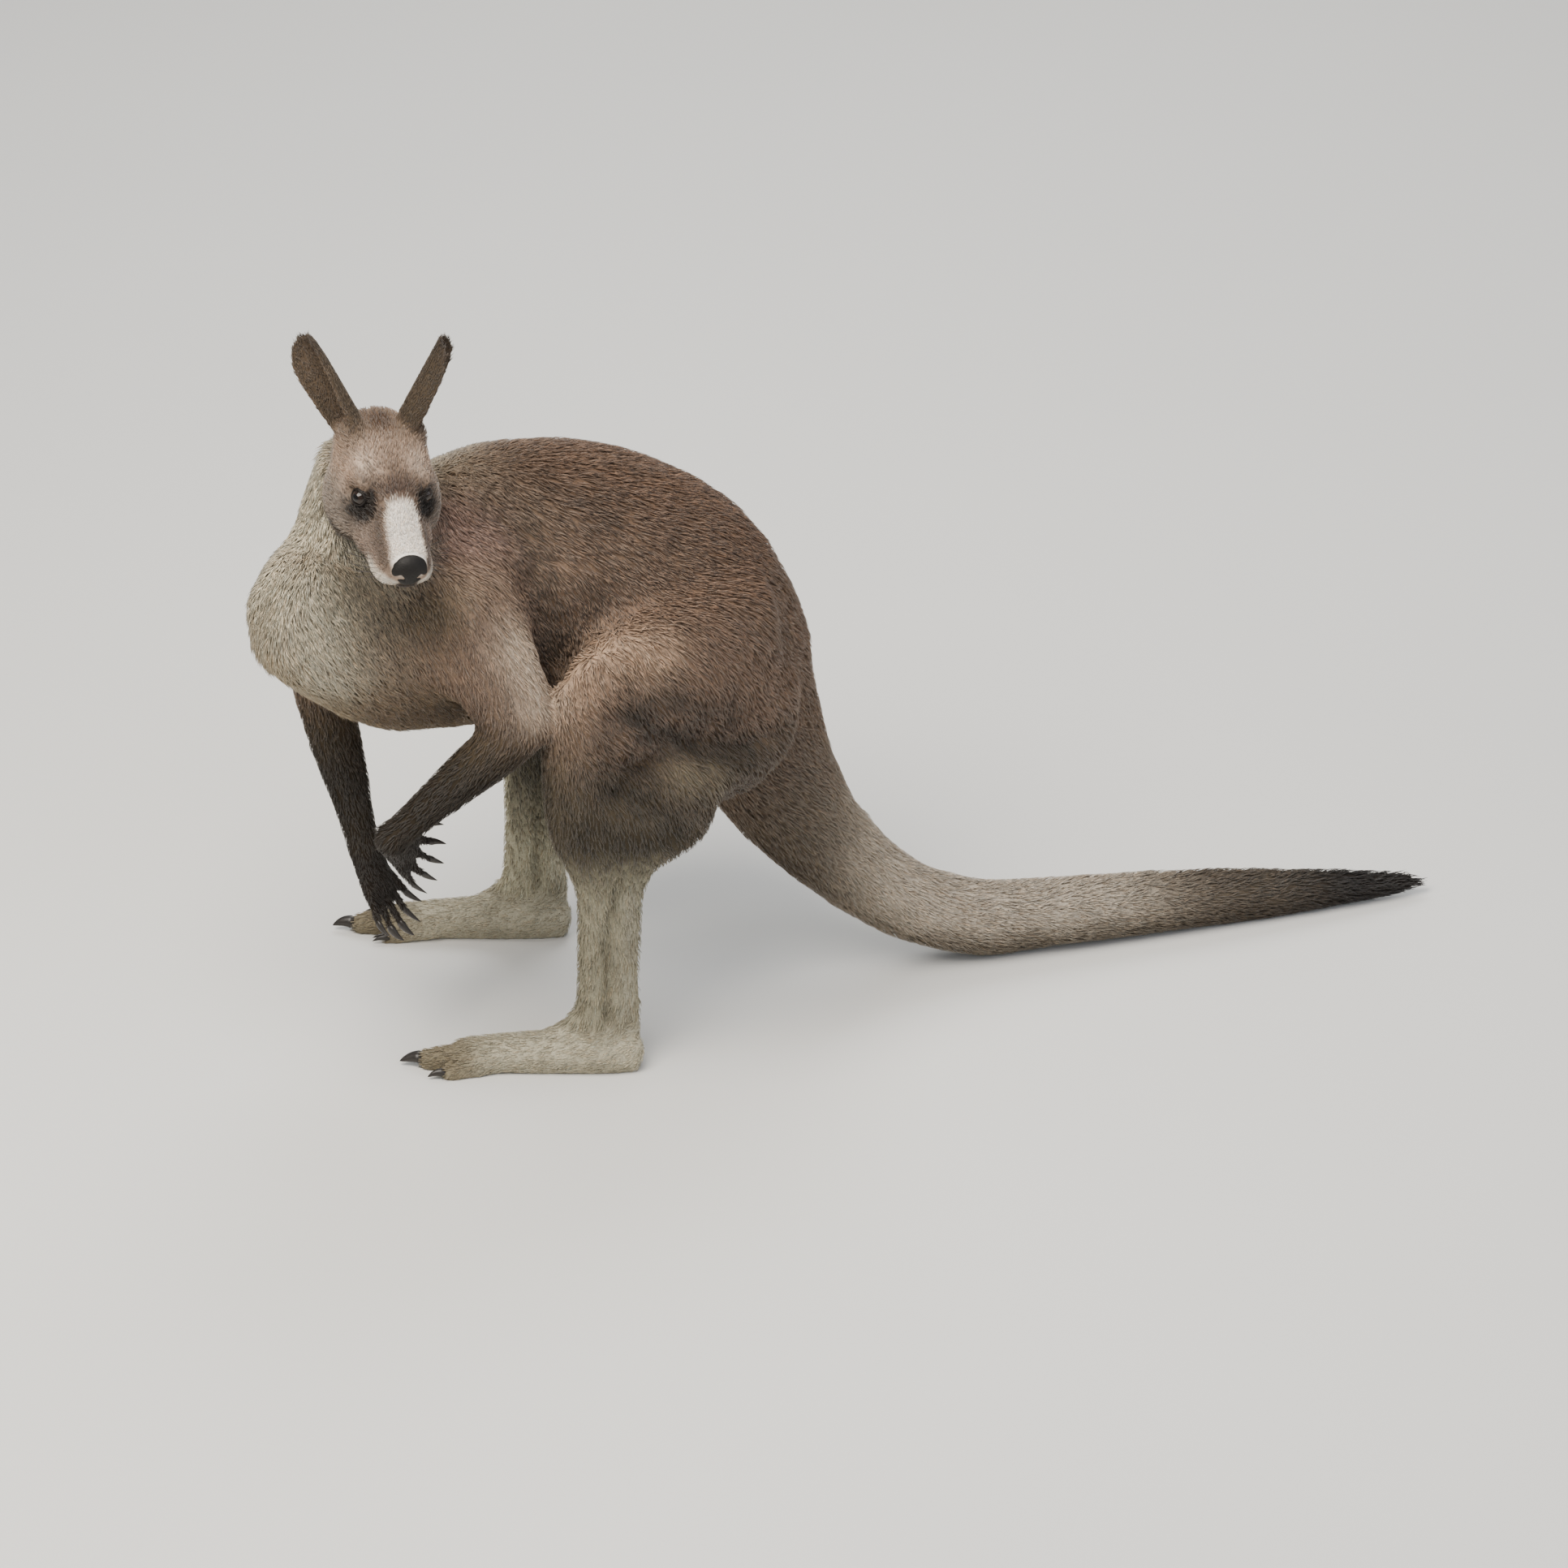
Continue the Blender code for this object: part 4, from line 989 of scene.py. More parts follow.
def make_coat(name, skin, number):
    """Tufts rooted on some parts of the skin, lying along it, as one mesh."""
    parts, count = COATS[name]
    rng = np.random.default_rng(100 + number)
    numbers = [PARTS.index(p) for p in parts]
    owned = np.isin(skin.part[skin.triangles[:, 0]], numbers)
    triangles = skin.triangles[owned]
    places = unwrapped(skin.points, triangles)
    first, second, third = skin.points[triangles].transpose(1, 0, 2)
    areas = np.linalg.norm(np.cross(second - first, third - first), axis=1)
    length = skin.length[triangles].mean(1)
    chance = areas / length ** 1.3
    chosen = rng.choice(len(triangles), count, p=chance / chance.sum())
    chosen.sort()
    mix = rng.dirichlet((1, 1, 1), count)

    def at(values):
        return (values[triangles[chosen]] * mix.reshape(count, 3, *[1] * (values.ndim - 1))).sum(1)

    root = at(skin.points)
    bare = bald(root) > rng.uniform(0.3, 0.7, count)
    root, chosen, mix = root[~bare], chosen[~bare], mix[~bare]
    count = len(root)
    normal = unit(at(skin.normal))
    wander = np.column_stack([soft_noise(root, CLUMP, 10 + k) for k in range(3)])
    broad = np.column_stack([soft_noise(root, 5 * CLUMP, 20 + k) for k in range(3)])
    lie = unit(at(skin.lie)) + LIE_WANDER * wander + 0.5 * LIE_WANDER * broad
    lie += LIE_JITTER * rng.normal(size=(count, 3))
    lie = unit(lie - (lie * normal).sum(1)[:, None] * normal)
    across = np.cross(normal, lie)
    length = (at(skin.length) * rng.uniform(*LENGTHS, count))[:, None]
    width = (at(skin.width) * rng.uniform(*WIDTHS, count))[:, None]
    depth = (at(skin.depth) * rng.uniform(*DEPTHS, count))[:, None]
    bend = rng.normal(0, BEND, (count, 1)) * length
    foot = root - 0.4 * width * normal
    waist = root + 0.5 * length * lie + 0.80 * depth * normal + 0.3 * bend * across
    tip = root + length * lie + depth * normal + bend * across
    corners = np.stack((
        foot - 0.5 * width * across, foot + 0.5 * width * across, foot + 0.5 * width * normal,
        waist - 0.42 * width * across, waist + 0.42 * width * across, waist + 0.35 * width * normal,
        tip), axis=1)
    corners[:, :, 2] = np.maximum(corners[:, :, 2], TUFTS_OVER_FLOOR)
    faces, spots = tuft_pattern()
    points = corners.reshape(-1, 3)
    all_faces = (faces[None] + 7 * np.arange(count)[:, None, None]).reshape(-1, 3)
    mesh = triangle_mesh(name, points, all_faces)
    centre = (places[chosen] * mix[:, :, None]).sum(1)
    centre = np.clip(centre - PATCH / 2, 0, 1 - PATCH)
    uv = centre[:, None, None, :] + PATCH * spots[None]
    mesh.uv_layers.new(name=BAKE_MAP).data.foreach_set("uv", uv.astype(np.float32).ravel())
    shade = rng.normal(1.0, SHADE_SPREAD, count) * (1 + 0.16 * wander[:, 0])
    warm = rng.normal(0, WARMTH_SPREAD, count)
    tint = at(skin.colour) * np.clip(shade, 0.55, 1.5)[:, None]
    tint = tint * np.column_stack((1 + warm, np.ones(count), 1 - warm))
    colours = np.ones((count, 7, 4))
    colours[:, :, :3] = np.clip(tint, 0, 1)[:, None]
    set_attribute(mesh, "coat", "FLOAT_COLOR", "color", colours)
    sleek = ease(0.016, 0.008, at(skin.length))[:, None]
    reach = np.array((0, 0, 0, 0.55, 0.55, 0.55, 1.0)) * (1 - 0.5 * sleek) + 0.38 * sleek
    set_attribute(mesh, "reach", "FLOAT", "value", reach)
    return finish_piece(name, mesh, FUR)


def tuft_pattern():
    """The faces of one tuft, a bent three-sided spike, and their corners' spots on its patch."""
    faces, spots = [], []
    for k in range(3):
        n = (k + 1) % 3
        left, right, centre = k / 3, (k + 1) / 3, (k + 0.5) / 3
        faces += [(k, n, 3 + n), (k, 3 + n, 3 + k), (3 + k, 3 + n, 6)]
        spots += [((left, 0), (right, 0), (right, 0.5)), ((left, 0), (right, 0.5), (left, 0.5)),
                  ((left, 0.5), (right, 0.5), (centre, 1))]
    faces.append((2, 1, 0))
    spots.append(((0.23, 0.98), (0.43, 0.98), (0.33, 0.65)))
    return np.array(faces), np.array(spots)


def finish_piece(name, mesh, material, stands_for=()):
    mesh.materials.clear()
    mesh.materials.append(material)
    obj = add_object(name, mesh)
    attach(obj, BODY)
    if stands_for:
        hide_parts(*stands_for)
    return obj


# ---------------------------------------------------------------- materials


def fur_material():
    """Guard hair: dry keratin, darker at its root and pale at its tip, with a faint sheen."""
    material, tree = blank_material("kangaroo_guard_hair")
    colour = node(tree, "ShaderNodeAttribute", {"attribute_name": "coat"})
    reach = node(tree, "ShaderNodeAttribute", {"attribute_name": "reach"})
    ramp = node(tree, "ShaderNodeValToRGB", links={"Fac": reach.outputs["Fac"]})
    ramp.color_ramp.elements[0].color = (0.57, 0.54, 0.51, 1)
    ramp.color_ramp.elements[1].color = (1.17, 1.15, 1.12, 1)
    place = node(tree, "ShaderNodeTexCoord")
    fleck = node(tree, "ShaderNodeTexNoise", {"Scale": 260.0, "Detail": 2.0},   # about 4 mm
                 {"Vector": place.outputs["Object"]})
    level = node(tree, "ShaderNodeMapRange", {"From Min": 0.3, "From Max": 0.7, "To Min": 0.80,
                                              "To Max": 1.18}, {"Value": fleck.outputs["Fac"]})
    banded = node(tree, "ShaderNodeVectorMath", {"operation": "MULTIPLY"},
                  {0: colour.outputs["Color"], 1: ramp.outputs["Color"]})
    flecked = node(tree, "ShaderNodeVectorMath", {"operation": "SCALE"},
                   {0: banded.outputs["Vector"], "Scale": level.outputs["Result"]})
    shader = node(tree, "ShaderNodeBsdfPrincipled",
                  {"Roughness": 0.62, "IOR": 1.55, "Specular IOR Level": 0.35,
                   "Sheen Weight": 0.10, "Sheen Roughness": 0.5},
                  {"Base Color": flecked.outputs["Vector"]})
    finish_material(tree, shader)
    return material


def skin_material():
    """Hide under the coat: the same markings, darker, roughened by short underfur."""
    material, tree = blank_material("kangaroo_underfur")
    colour = node(tree, "ShaderNodeAttribute", {"attribute_name": "coat"})
    place = node(tree, "ShaderNodeTexCoord")
    fleck = node(tree, "ShaderNodeTexNoise", {"Scale": 420.0, "Detail": 4.0},   # about 2.5 mm
                 {"Vector": place.outputs["Object"]})
    level = node(tree, "ShaderNodeMapRange", {"From Min": 0.3, "From Max": 0.7, "To Min": 0.65,
                                              "To Max": 1.05}, {"Value": fleck.outputs["Fac"]})
    shaded = node(tree, "ShaderNodeVectorMath", {"operation": "SCALE"},
                  {0: colour.outputs["Color"], "Scale": level.outputs["Result"]})
    bump = node(tree, "ShaderNodeBump", {"Strength": 0.6, "Distance": 0.0015},
                {"Height": fleck.outputs["Fac"]})
    shader = node(tree, "ShaderNodeBsdfPrincipled",
                  {"Roughness": 0.85, "Specular IOR Level": 0.2},
                  {"Base Color": shaded.outputs["Vector"], "Normal": bump.outputs["Normal"]})
    finish_material(tree, shader)
    return material


def leather_material(name, colour, other, scale, roughness):
    """Bare hide: pebbled in small cells, a little greasy."""
    material, tree = blank_material(name)
    place = node(tree, "ShaderNodeTexCoord")
    cells = node(tree, "ShaderNodeTexVoronoi", {"Scale": scale},
                 {"Vector": place.outputs["Object"]})
    tint = node(tree, "ShaderNodeMix", {"data_type": "RGBA", 6: (*linear(colour), 1),
                                        7: (*linear(other), 1)}, {0: cells.outputs["Distance"]})
    bump = node(tree, "ShaderNodeBump", {"Strength": 0.5, "Distance": 0.0006},
                {"Height": cells.outputs["Distance"]})
    shader = node(tree, "ShaderNodeBsdfPrincipled",
                  {"Roughness": roughness, "IOR": 1.45, "Specular IOR Level": 0.35},
                  {"Base Color": tint.outputs[2], "Normal": bump.outputs["Normal"]})
    finish_material(tree, shader)
    return material


def eye_material():
    """A wet eye: near-black pupil in a dark brown iris, under clear glossy cornea."""
    material, tree = blank_material("kangaroo_eye")
    gaze = node(tree, "ShaderNodeAttribute", {"attribute_name": "gaze"})
    place = node(tree, "ShaderNodeTexCoord")
    fibres = node(tree, "ShaderNodeTexNoise", {"Scale": 900.0, "Detail": 3.0},
                  {"Vector": place.outputs["Object"]})
    ramp = node(tree, "ShaderNodeValToRGB", links={"Fac": gaze.outputs["Fac"]})
    ramp.color_ramp.elements[0].position = 0.30
    ramp.color_ramp.elements[0].color = (*linear("#060403"), 1)
    ramp.color_ramp.elements[1].position = 0.36
    ramp.color_ramp.elements[1].color = (*linear("#22150c"), 1)
    for position, colour in ((0.78, "#170e07"), (0.90, "#0b0806"), (1.0, "#0f0b09")):
        stop = ramp.color_ramp.elements.new(position)
        stop.color = (*linear(colour), 1)
    level = node(tree, "ShaderNodeMapRange", {"To Min": 0.6, "To Max": 1.4},
                 {"Value": fibres.outputs["Fac"]})
    shaded = node(tree, "ShaderNodeVectorMath", {"operation": "SCALE"},
                  {0: ramp.outputs["Color"], "Scale": level.outputs["Result"]})
    shader = node(tree, "ShaderNodeBsdfPrincipled",
                  {"Roughness": 0.10, "IOR": 1.376, "Coat Weight": 0.35, "Coat Roughness": 0.05},
                  {"Base Color": shaded.outputs["Vector"]})
    finish_material(tree, shader)
    return material


def claw_material():
    """Claw horn: black keratin in fine long layers, worn to a dull gloss."""
    material, tree = blank_material("kangaroo_claw_horn")
    place = node(tree, "ShaderNodeTexCoord")
    layers = node(tree, "ShaderNodeTexNoise", {"Scale": 350.0, "Detail": 4.0, "Roughness": 0.6},
                  {"Vector": place.outputs["Object"]})
    tint = node(tree, "ShaderNodeMix", {"data_type": "RGBA", 6: (*linear("#0d0a08"), 1),
                                        7: (*linear("#2c241d"), 1)}, {0: layers.outputs["Fac"]})
    rough = node(tree, "ShaderNodeMapRange", {"To Min": 0.28, "To Max": 0.55},
                 {"Value": layers.outputs["Fac"]})
    bump = node(tree, "ShaderNodeBump", {"Strength": 0.3, "Distance": 0.0004},
                {"Height": layers.outputs["Fac"]})
    shader = node(tree, "ShaderNodeBsdfPrincipled", {"IOR": 1.55},
                  {"Base Color": tint.outputs[2], "Roughness": rough.outputs["Result"],
                   "Normal": bump.outputs["Normal"]})
    finish_material(tree, shader)
    return material


def whisker_material():
    """Whiskers and lashes: stiff dark keratin, smooth enough to shine."""
    material, tree = blank_material("kangaroo_whisker")
    shader = node(tree, "ShaderNodeBsdfPrincipled",
                  {"Base Color": (*linear("#2a231d"), 1), "Roughness": 0.4, "IOR": 1.55})
    finish_material(tree, shader)
    return material


FUR = fur_material()
SKIN = skin_material()
NOSE_LEATHER = leather_material("kangaroo_nose_leather", "#080605", "#16120f", 700.0, 0.58)
LID_LEATHER = leather_material("kangaroo_lid_leather", "#100c0a", "#1d1713", 1500.0, 0.60)
EYE = eye_material()
HORN = claw_material()
WHISKER = whisker_material()

# ---------------------------------------------------------------- eyes and lids

EYE_RINGS = 48
EYE_SIDES = 64
LID_SIDES = 72
LID_TOP = math.radians(43)      # half the opening's height and width, as angles at the eye
LID_SIDE = math.radians(60)
LID_OUTER = math.radians(96)
RIM_ROUNDNESS = 1.25
LOWER_LID = 0.94                # the lower lid's opening is this much of the upper's


def eye_turn(sign):
    """From a frame that looks along +X with +Z up to the world."""
    look = eye_axis(sign)
    up = HEAD.to_3x3() @ Vector((0, 0, 1))
    left = up.cross(look).normalized()
    return Matrix((look, left, look.cross(left))).transposed()


def make_eye(side, sign):
    """The eyeball with its clear bulge, and its iris and pupil told by an attribute."""
    centre, turn = middle("eye_" + side), eye_turn(sign)
    bm = bmesh.new()
    bmesh.ops.create_uvsphere(bm, u_segments=EYE_SIDES, v_segments=EYE_RINGS, radius=EYE_RADIUS)
    bmesh.ops.rotate(bm, matrix=Matrix.Rotation(math.pi / 2, 3, "Y"), verts=bm.verts)
    gaze = []
    for vert in bm.verts:
        way = vert.co.normalized()
        angle = math.acos(max(-1, min(1, way.x)))
        bulge = 0.0009 * math.exp(-(angle / math.radians(32)) ** 4)
        gaze.append(math.degrees(math.acos(max(-1, min(1, way.x)))) / 60
                    * (1 - 0.25 * abs(way.y) / max(1e-6, math.hypot(way.y, way.z))))
        vert.co = centre + turn @ (way * (EYE_RADIUS + bulge))
    mesh = mesh_of("eyeball_" + side, bm)
    set_attribute(mesh, "gaze", "FLOAT", "value", np.minimum(gaze, 1))
    finish_piece("eyeball_" + side, mesh, EYE, ("eye_" + side,))


def rim_angle(a):
    """How far from its axis the eye's opening ends, at this turn round it."""
    wide = abs(math.cos(a)) ** RIM_ROUNDNESS
    return LID_SIDE * wide + LID_TOP * (1 - wide)


def round_eye(angle, a):
    """The way that leaves the eye's axis by an angle, at this turn round it."""
    return Vector((math.cos(angle), math.sin(angle) * math.cos(a), math.sin(angle) * math.sin(a)))


def make_lids(side, sign):
    """Both lids of an eye, one closed ring with a rolled rim, wider than high."""
    centre, turn = middle("eye_" + side), eye_turn(sign)
    profile = (   # share of the way out from the rim, and height over the eyeball
        (0.00, 0.0001), (0.00, 0.0010), (0.05, 0.0018), (0.16, 0.0020), (0.30, 0.0015),
        (0.45, 0.0017), (0.75, 0.0008), (1.00, -0.0012), (0.80, -0.0024), (0.30, -0.0010))
    bm = bmesh.new()
    rings = []
    for k in range(LID_SIDES):
        a = 2 * math.pi * k / LID_SIDES
        rim = rim_angle(a) * (LOWER_LID if math.sin(a) < 0 else 1)
        ring = []
        for share, height in profile:
            angle = rim + (LID_OUTER - rim) * share
            way = round_eye(angle, a)
            ring.append(bm.verts.new(centre + turn @ (way * (EYE_RADIUS + height))))
        rings.append(ring)
    for one, two in zip(rings, rings[1:] + rings[:1]):
        for k in range(len(profile)):
            n = (k + 1) % len(profile)
            bm.faces.new((one[k], two[k], two[n], one[n]))
    bmesh.ops.recalc_face_normals(bm, faces=bm.faces)
    mesh = mesh_of("lids_" + side, bm)
    finish_piece("lids_" + side, mesh, LID_LEATHER)


# ---------------------------------------------------------------- nose

NOSE_CENTRE = Vector((0.119, 0, -0.029))
NOSE_RADII = Vector((0.0185, 0.0255, 0.0245))


def make_nose():
    """The pad of bare leather over the end of the muzzle, cleft below, with a slit at each side."""
    bm = bmesh.new()
    bmesh.ops.create_uvsphere(bm, u_segments=96, v_segments=64, radius=1)
    for vert in bm.verts:
        way = vert.co.normalized()
        x, y, z = way
        swell = 1.0
        narrow = 1 - 0.28 * max(0, -z) ** 1.5
        for sign in (-1, 1):
            slit = Vector((0.80, 0.56 * sign, -0.05)).normalized()
            off = way - slit
            curl = off.z + 1.1 * (abs(off.y) * 0.6 - 0.02)
            swell -= 0.34 * math.exp(-(off.y / 0.20) ** 2 - (curl / 0.13) ** 2)
            wing = Vector((0.55, 0.80 * sign, 0.12)).normalized()
            swell += 0.07 * math.exp(-((way - wing).length / 0.28) ** 2)
        swell -= 0.05 * math.exp(-(y / 0.06) ** 2) * max(0, x) * (1 if z < 0.2 else 0.3)
        out = Vector((x * NOSE_RADII.x, y * NOSE_RADII.y * narrow, z * NOSE_RADII.z))
        local = NOSE_CENTRE + out * swell
        vert.co = HEAD @ local
    mesh = mesh_of("nose_pad", bm)
    finish_piece("nose_pad", mesh, NOSE_LEATHER)


# ---------------------------------------------------------------- whiskers and lashes


def bristle_tree():
    """Geometry Nodes that stand a tapered, bent bristle on each point, along its way."""
    tree = bpy.data.node_groups.new("bristles", "GeometryNodeTree")
    face = tree.interface
    face.new_socket("Roots", in_out="INPUT", socket_type="NodeSocketGeometry")
    face.new_socket("Thickness", in_out="INPUT", socket_type="NodeSocketFloat")
    face.new_socket("Bend", in_out="INPUT", socket_type="NodeSocketFloat")
    face.new_socket("Finish", in_out="INPUT", socket_type="NodeSocketMaterial")
    face.new_socket("Bristles", in_out="OUTPUT", socket_type="NodeSocketGeometry")
    given = node(tree, "NodeGroupInput")
    line = node(tree, "GeometryNodeCurvePrimitiveLine", {"Start": (0, 0, 0), "End": (0, 0, 1)})
    steps = node(tree, "GeometryNodeResampleCurve", {"Count": 9}, {"Curve": line.outputs["Curve"]})
    spot = node(tree, "GeometryNodeInputPosition")
    split = node(tree, "ShaderNodeSeparateXYZ", links={0: spot.outputs["Position"]})
    square = node(tree, "ShaderNodeMath", {"operation": "MULTIPLY"},
                  {0: split.outputs["Z"], 1: split.outputs["Z"]})
    sag = node(tree, "ShaderNodeMath", {"operation": "MULTIPLY"},
               {0: square.outputs[0], 1: given.outputs["Bend"]})
    aside = node(tree, "ShaderNodeCombineXYZ", links={"X": sag.outputs[0]})
    bent = node(tree, "GeometryNodeSetPosition", links={
        "Geometry": steps.outputs["Curve"], "Offset": aside.outputs["Vector"]})
    taper = node(tree, "ShaderNodeMath", {"operation": "SUBTRACT", 0: 1.06},
                 {1: split.outputs["Z"]})
    sized = node(tree, "GeometryNodeSetCurveRadius", links={
        "Curve": bent.outputs["Geometry"], "Radius": taper.outputs[0]})
    ring = node(tree, "GeometryNodeCurvePrimitiveCircle", {"Resolution": 5},
                {"Radius": given.outputs["Thickness"]})
    tube = node(tree, "GeometryNodeCurveToMesh", {"Fill Caps": True},
                {"Curve": sized.outputs["Curve"], "Profile Curve": ring.outputs["Curve"]})
    points = node(tree, "GeometryNodeMeshToPoints", links={"Mesh": given.outputs["Roots"]})
    way = node(tree, "GeometryNodeInputNamedAttribute",
               {"data_type": "FLOAT_VECTOR", "Name": "way"})
    size = node(tree, "GeometryNodeInputNamedAttribute", {"data_type": "FLOAT", "Name": "size"})
    aim = node(tree, "FunctionNodeAlignEulerToVector", {"axis": "Z"},
               {"Vector": way.outputs["Attribute"]})
    stretch = node(tree, "ShaderNodeCombineXYZ", {"X": 1.0, "Y": 1.0},
                   {"Z": size.outputs["Attribute"]})
    stand = node(tree, "GeometryNodeInstanceOnPoints", links={
        "Points": points.outputs["Points"], "Instance": tube.outputs["Mesh"],
        "Rotation": aim.outputs["Rotation"], "Scale": stretch.outputs["Vector"]})
    real = node(tree, "GeometryNodeRealizeInstances",
                links={"Geometry": stand.outputs["Instances"]})
    dressed = node(tree, "GeometryNodeSetMaterial", links={
        "Geometry": real.outputs["Geometry"], "Material": given.outputs["Finish"]})
    node(tree, "NodeGroupOutput", links={"Bristles": dressed.outputs["Geometry"]})
    return tree


BRISTLES = bristle_tree()
BRISTLE_ROOT = 0.001   # the length of a whisker inside the skin


def make_bristles(name, roots, ways, sizes, thickness, bend):
    """Bristles on roots, as one plain mesh. Thickness and bend are in metres."""
    mesh = bpy.data.meshes.new(name + "_roots")
    mesh.from_pydata([tuple(r) for r in roots], [], [])
    set_attribute(mesh, "way", "FLOAT_VECTOR", "vector", np.array([tuple(w) for w in ways]))
    set_attribute(mesh, "size", "FLOAT", "value", np.array(sizes))
    obj = add_object(name + "_roots", mesh)
    grow = obj.modifiers.new("bristles", "NODES")
    grow.node_group = BRISTLES
    values = {"Thickness": thickness, "Bend": bend, "Finish": WHISKER}
    for item in BRISTLES.interface.items_tree:
        if item.in_out == "INPUT" and item.name in values:
            grow[item.identifier] = values[item.name]
    made = evaluated_mesh(obj)
    drop(obj)
    made.name = name
    made.shade_smooth()
    finish_piece(name, made, WHISKER)


WHISKER_ROWS = 4
WHISKERS_PER_ROW = 6
WHISKER_THICKNESS = 0.00024
WHISKER_BEND = 0.006


def make_whiskers(surface):
    """Rows of whiskers on each whisker pad, a few over the eyes and on the cheeks."""
    rng = np.random.default_rng(7)
    roots, ways, sizes = [], [], []
    for sign in (-1, 1):
        for row in range(WHISKER_ROWS):
            for k in range(WHISKERS_PER_ROW):
                start = Vector((0.108 - 0.0085 * k, 0.075 * sign, -0.036 - 0.0075 * row))
                way = Vector((-0.25 - 0.13 * k, sign, -0.28 - 0.10 * row))
                way += Vector(rng.normal(0, 0.06, 3))
                place_bristle(surface, start, way, 0.026 + 0.005 * k, sign, roots, ways, sizes)
        for k in range(3):
            place_bristle(surface, Vector((0.0 - 0.006 * k, 0.10 * sign, 0.030 + 0.002 * k)),
                          Vector((0.1 - 0.3 * k, sign, 0.75)), 0.026, sign, roots, ways, sizes)
            place_bristle(surface, Vector((0.010 - 0.008 * k, 0.10 * sign, -0.050)),
                          Vector((-0.35, sign, -0.35)), 0.024, sign, roots, ways, sizes)
    make_bristles("whiskers", roots, ways, sizes, WHISKER_THICKNESS, WHISKER_BEND)


def place_bristle(surface, start, way, size, sign, roots, ways, sizes):
    """Find the skin inwards from a start beside the head, and root a bristle there."""
    inwards = HEAD.to_3x3() @ Vector((0, -sign, 0))
    hit = surface.ray_cast(HEAD @ start, inwards)
    if hit[0] is None:
        return
    roots.append(hit[0] + inwards * BRISTLE_ROOT)
    ways.append((HEAD.to_3x3() @ way).normalized())
    sizes.append(size)


LASHES = 26
LASH_SETBACK = 0.06             # radians outside the rim
LASH_HEIGHT = 0.0012
LASH_THICKNESS = 0.00016
LASH_BEND = 0.002


def make_lashes():
    """A row of lashes along the upper lid of each eye."""
    rng = np.random.default_rng(8)
    roots, ways, sizes = [], [], []
    for side, sign in SIDES.items():
        centre, turn = middle("eye_" + side), eye_turn(sign)
        for k in range(LASHES):
            a = math.radians(18 + 144 * k / (LASHES - 1))
            way = round_eye(rim_angle(a) + LASH_SETBACK, a)
            roots.append(centre + turn @ (way * (EYE_RADIUS + LASH_HEIGHT)))
            out = Vector((0.9, 0.55 * math.cos(a), 0.35 * math.sin(a)))
            out += Vector(rng.normal(0, 0.07, 3))
            ways.append((turn @ out).normalized())
            sizes.append(0.0085 + 0.002 * math.sin(a))
    make_bristles("lashes", roots, ways, sizes, LASH_THICKNESS, LASH_BEND)


# ---------------------------------------------------------------- claws

CLAW_STEPS = 14
CLAW_SIDES = 14
CLAW_ROOT = 0.25       # the share of its length that a claw goes on into the digit
CLAW_BOW = 0.14        # the share of its length that it bows
CLAW_FLATNESS = 0.78
PAWS = {
    "hand": ("first_finger", "second_finger", "third_finger", "fourth_finger", "fifth_finger"),
    "foot": ("second_toe", "third_toe", "fourth_toe", "fifth_toe"),
}


def claw_shape(points, paw_centre):
    """Base, tip and radius of a CAD claw and the side it hooks towards, from its vertices."""
    tip = points[np.linalg.norm(points - paw_centre, axis=1).argmax()]
    away = np.linalg.norm(points - tip, axis=1) / np.linalg.norm(points - tip, axis=1).max()
    rear = points[away > 0.72]
    base = rear.mean(0)
    way = (tip - base) / np.linalg.norm(tip - base)
    waist = points[(away > 0.2) & (away < 0.6)].mean(0)
    hook = base + ((waist - base) @ way) * way - waist
    spread = (rear - base) - ((rear - base) @ way)[:, None] * way
    return Vector(base), Vector(tip), float(np.linalg.norm(spread, axis=1).max()), Vector(hook)


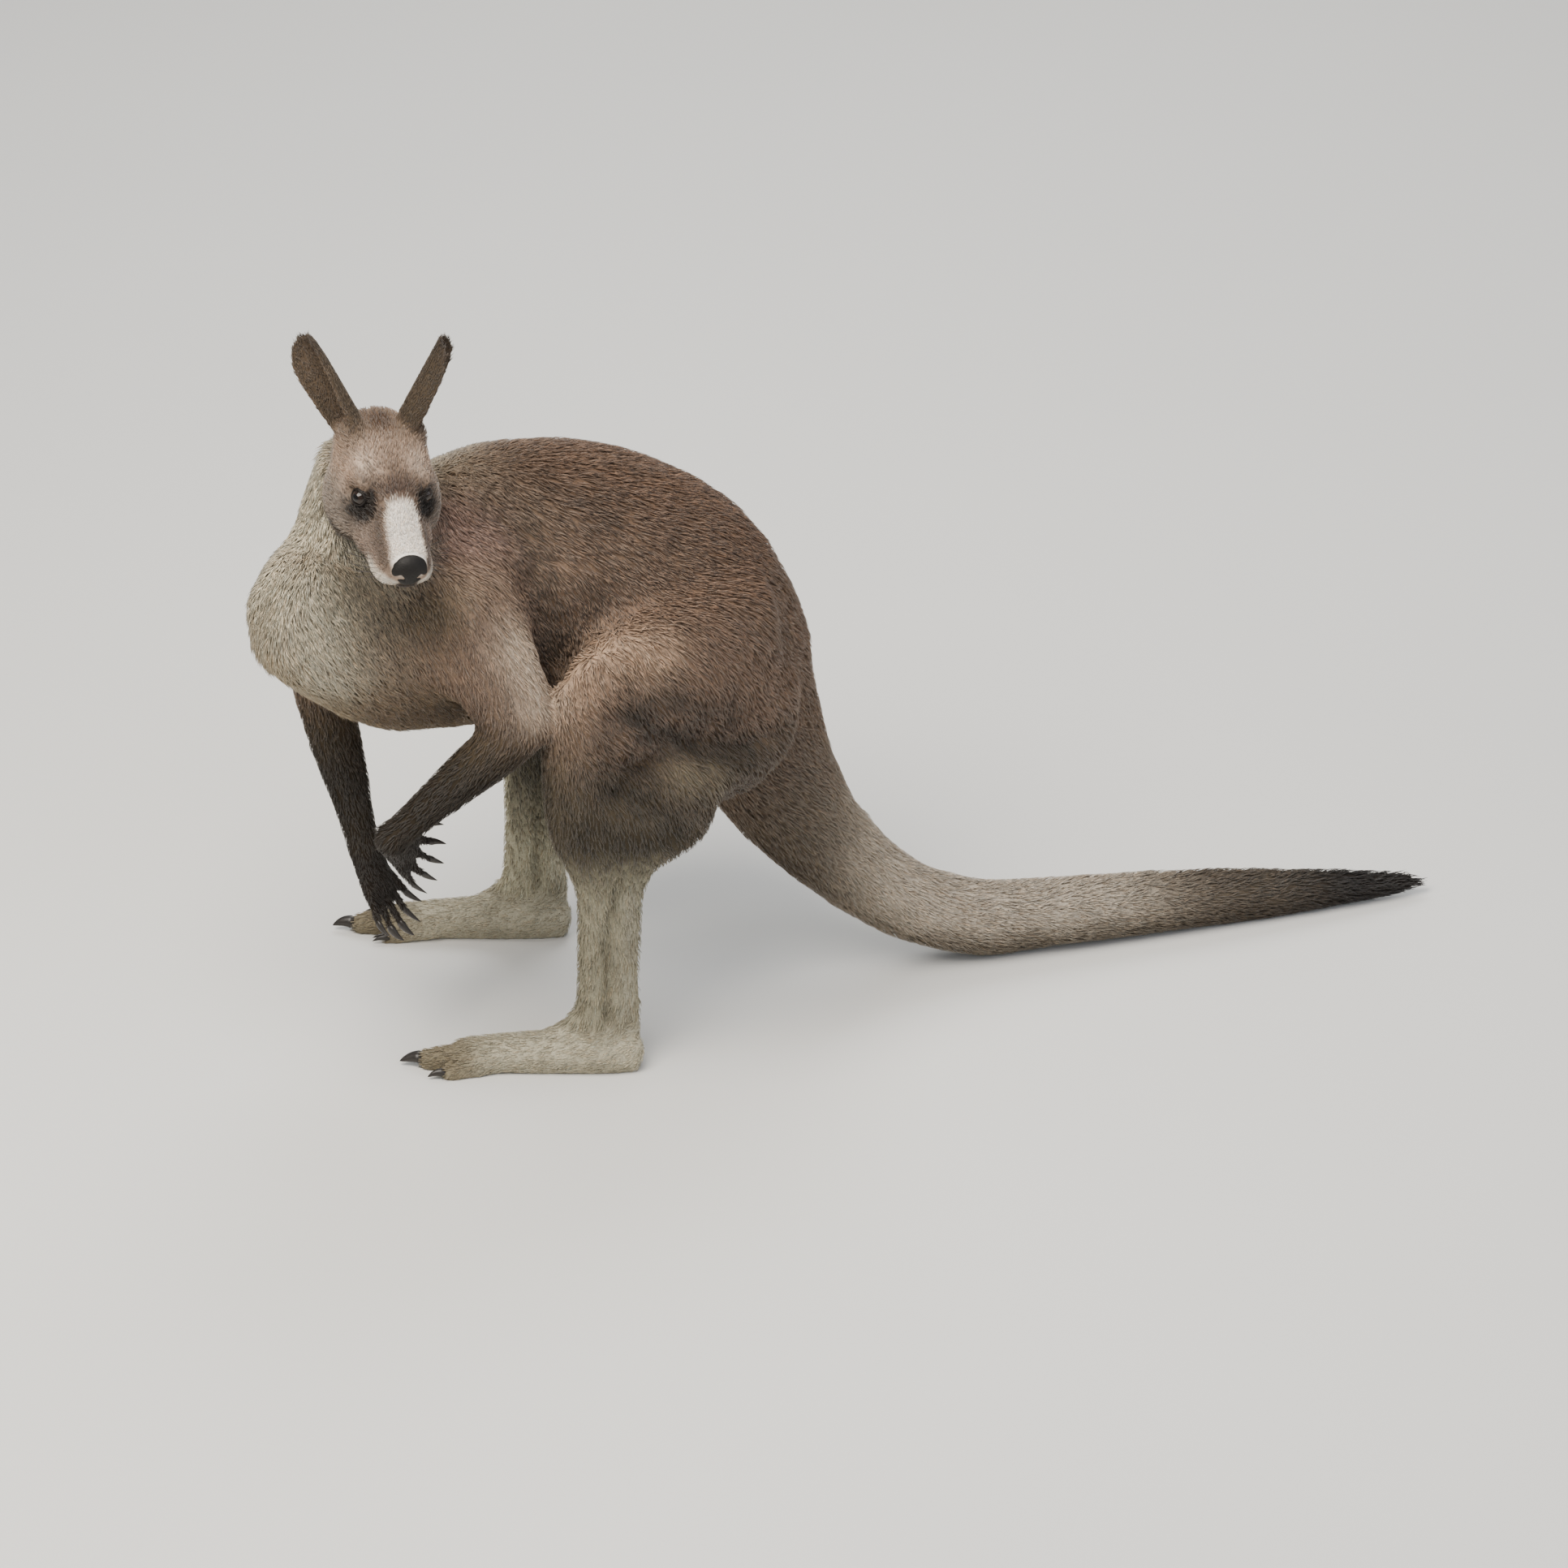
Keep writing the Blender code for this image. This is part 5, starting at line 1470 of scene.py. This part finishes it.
def make_claws(paw, side):
    """All the claws of one paw: each a hooked cone, flattened at its sides."""
    nodes = [f"claw_{digit}_{side}" for digit in PAWS[paw]]
    centre = node_points(f"{paw}_{side}").mean(0)
    bm = bmesh.new()
    for name in nodes:
        base, tip, radius, hook = claw_shape(node_points(name), centre)
        way = tip - base
        length = way.length
        way.normalize()
        hook = (hook - hook.dot(way) * way).normalized()
        across = way.cross(hook)
        start = base - way * CLAW_ROOT * length
        rings = []
        for step in range(CLAW_STEPS):
            t = step / CLAW_STEPS
            bow = hook * (CLAW_BOW * length * math.sin(math.pi * t))
            place = start + way * ((1 + CLAW_ROOT) * length * t) - bow
            size = radius * 1.02 * (1 - t ** 1.7) ** 0.8 * (0.55 + 0.45 * min(1, 5 * t))
            tilt = hook * CLAW_BOW * math.pi / (1 + CLAW_ROOT) * math.cos(math.pi * t)
            lean = (way - tilt).normalized()
            rise = across.cross(lean)
            rings.append([bm.verts.new(place + across * math.cos(a) * size * CLAW_FLATNESS
                                       + rise * math.sin(a) * size)
                          for a in (2 * math.pi * k / CLAW_SIDES for k in range(CLAW_SIDES))])
        point = bm.verts.new(tip)
        for one, two in zip(rings, rings[1:]):
            for k in range(CLAW_SIDES):
                n = (k + 1) % CLAW_SIDES
                bm.faces.new((one[k], one[n], two[n], two[k]))
        for k in range(CLAW_SIDES):
            bm.faces.new((rings[-1][k], rings[-1][(k + 1) % CLAW_SIDES], point))
        bm.faces.new(rings[0][::-1])
    for vert in bm.verts:
        vert.co.z = max(vert.co.z, CLAWS_OVER_FLOOR)
    bmesh.ops.recalc_face_normals(bm, faces=bm.faces)
    mesh = mesh_of(f"claws_{paw}_{side}", bm)
    finish_piece(f"claws_{paw}_{side}", mesh, HORN, nodes)


# ---------------------------------------------------------------- making it

skin = make_skin_surface()
skin_mesh = triangle_mesh("skin", skin.points, skin.triangles)
set_attribute(skin_mesh, "coat", "FLOAT_COLOR", "color",
              np.column_stack((np.clip(skin.colour, 0, 1), np.ones(len(skin.points)))))
finish_piece("skin", skin_mesh, SKIN, PARTS)
for number, coat in enumerate(COATS):
    make_coat(coat, skin, number)
surface = BVHTree.FromPolygons(skin.points.tolist(), skin.triangles.tolist())
for side, sign in SIDES.items():
    make_eye(side, sign)
    make_lids(side, sign)
    for paw in PAWS:
        make_claws(paw, side)
make_nose()
make_whiskers(surface)
make_lashes()
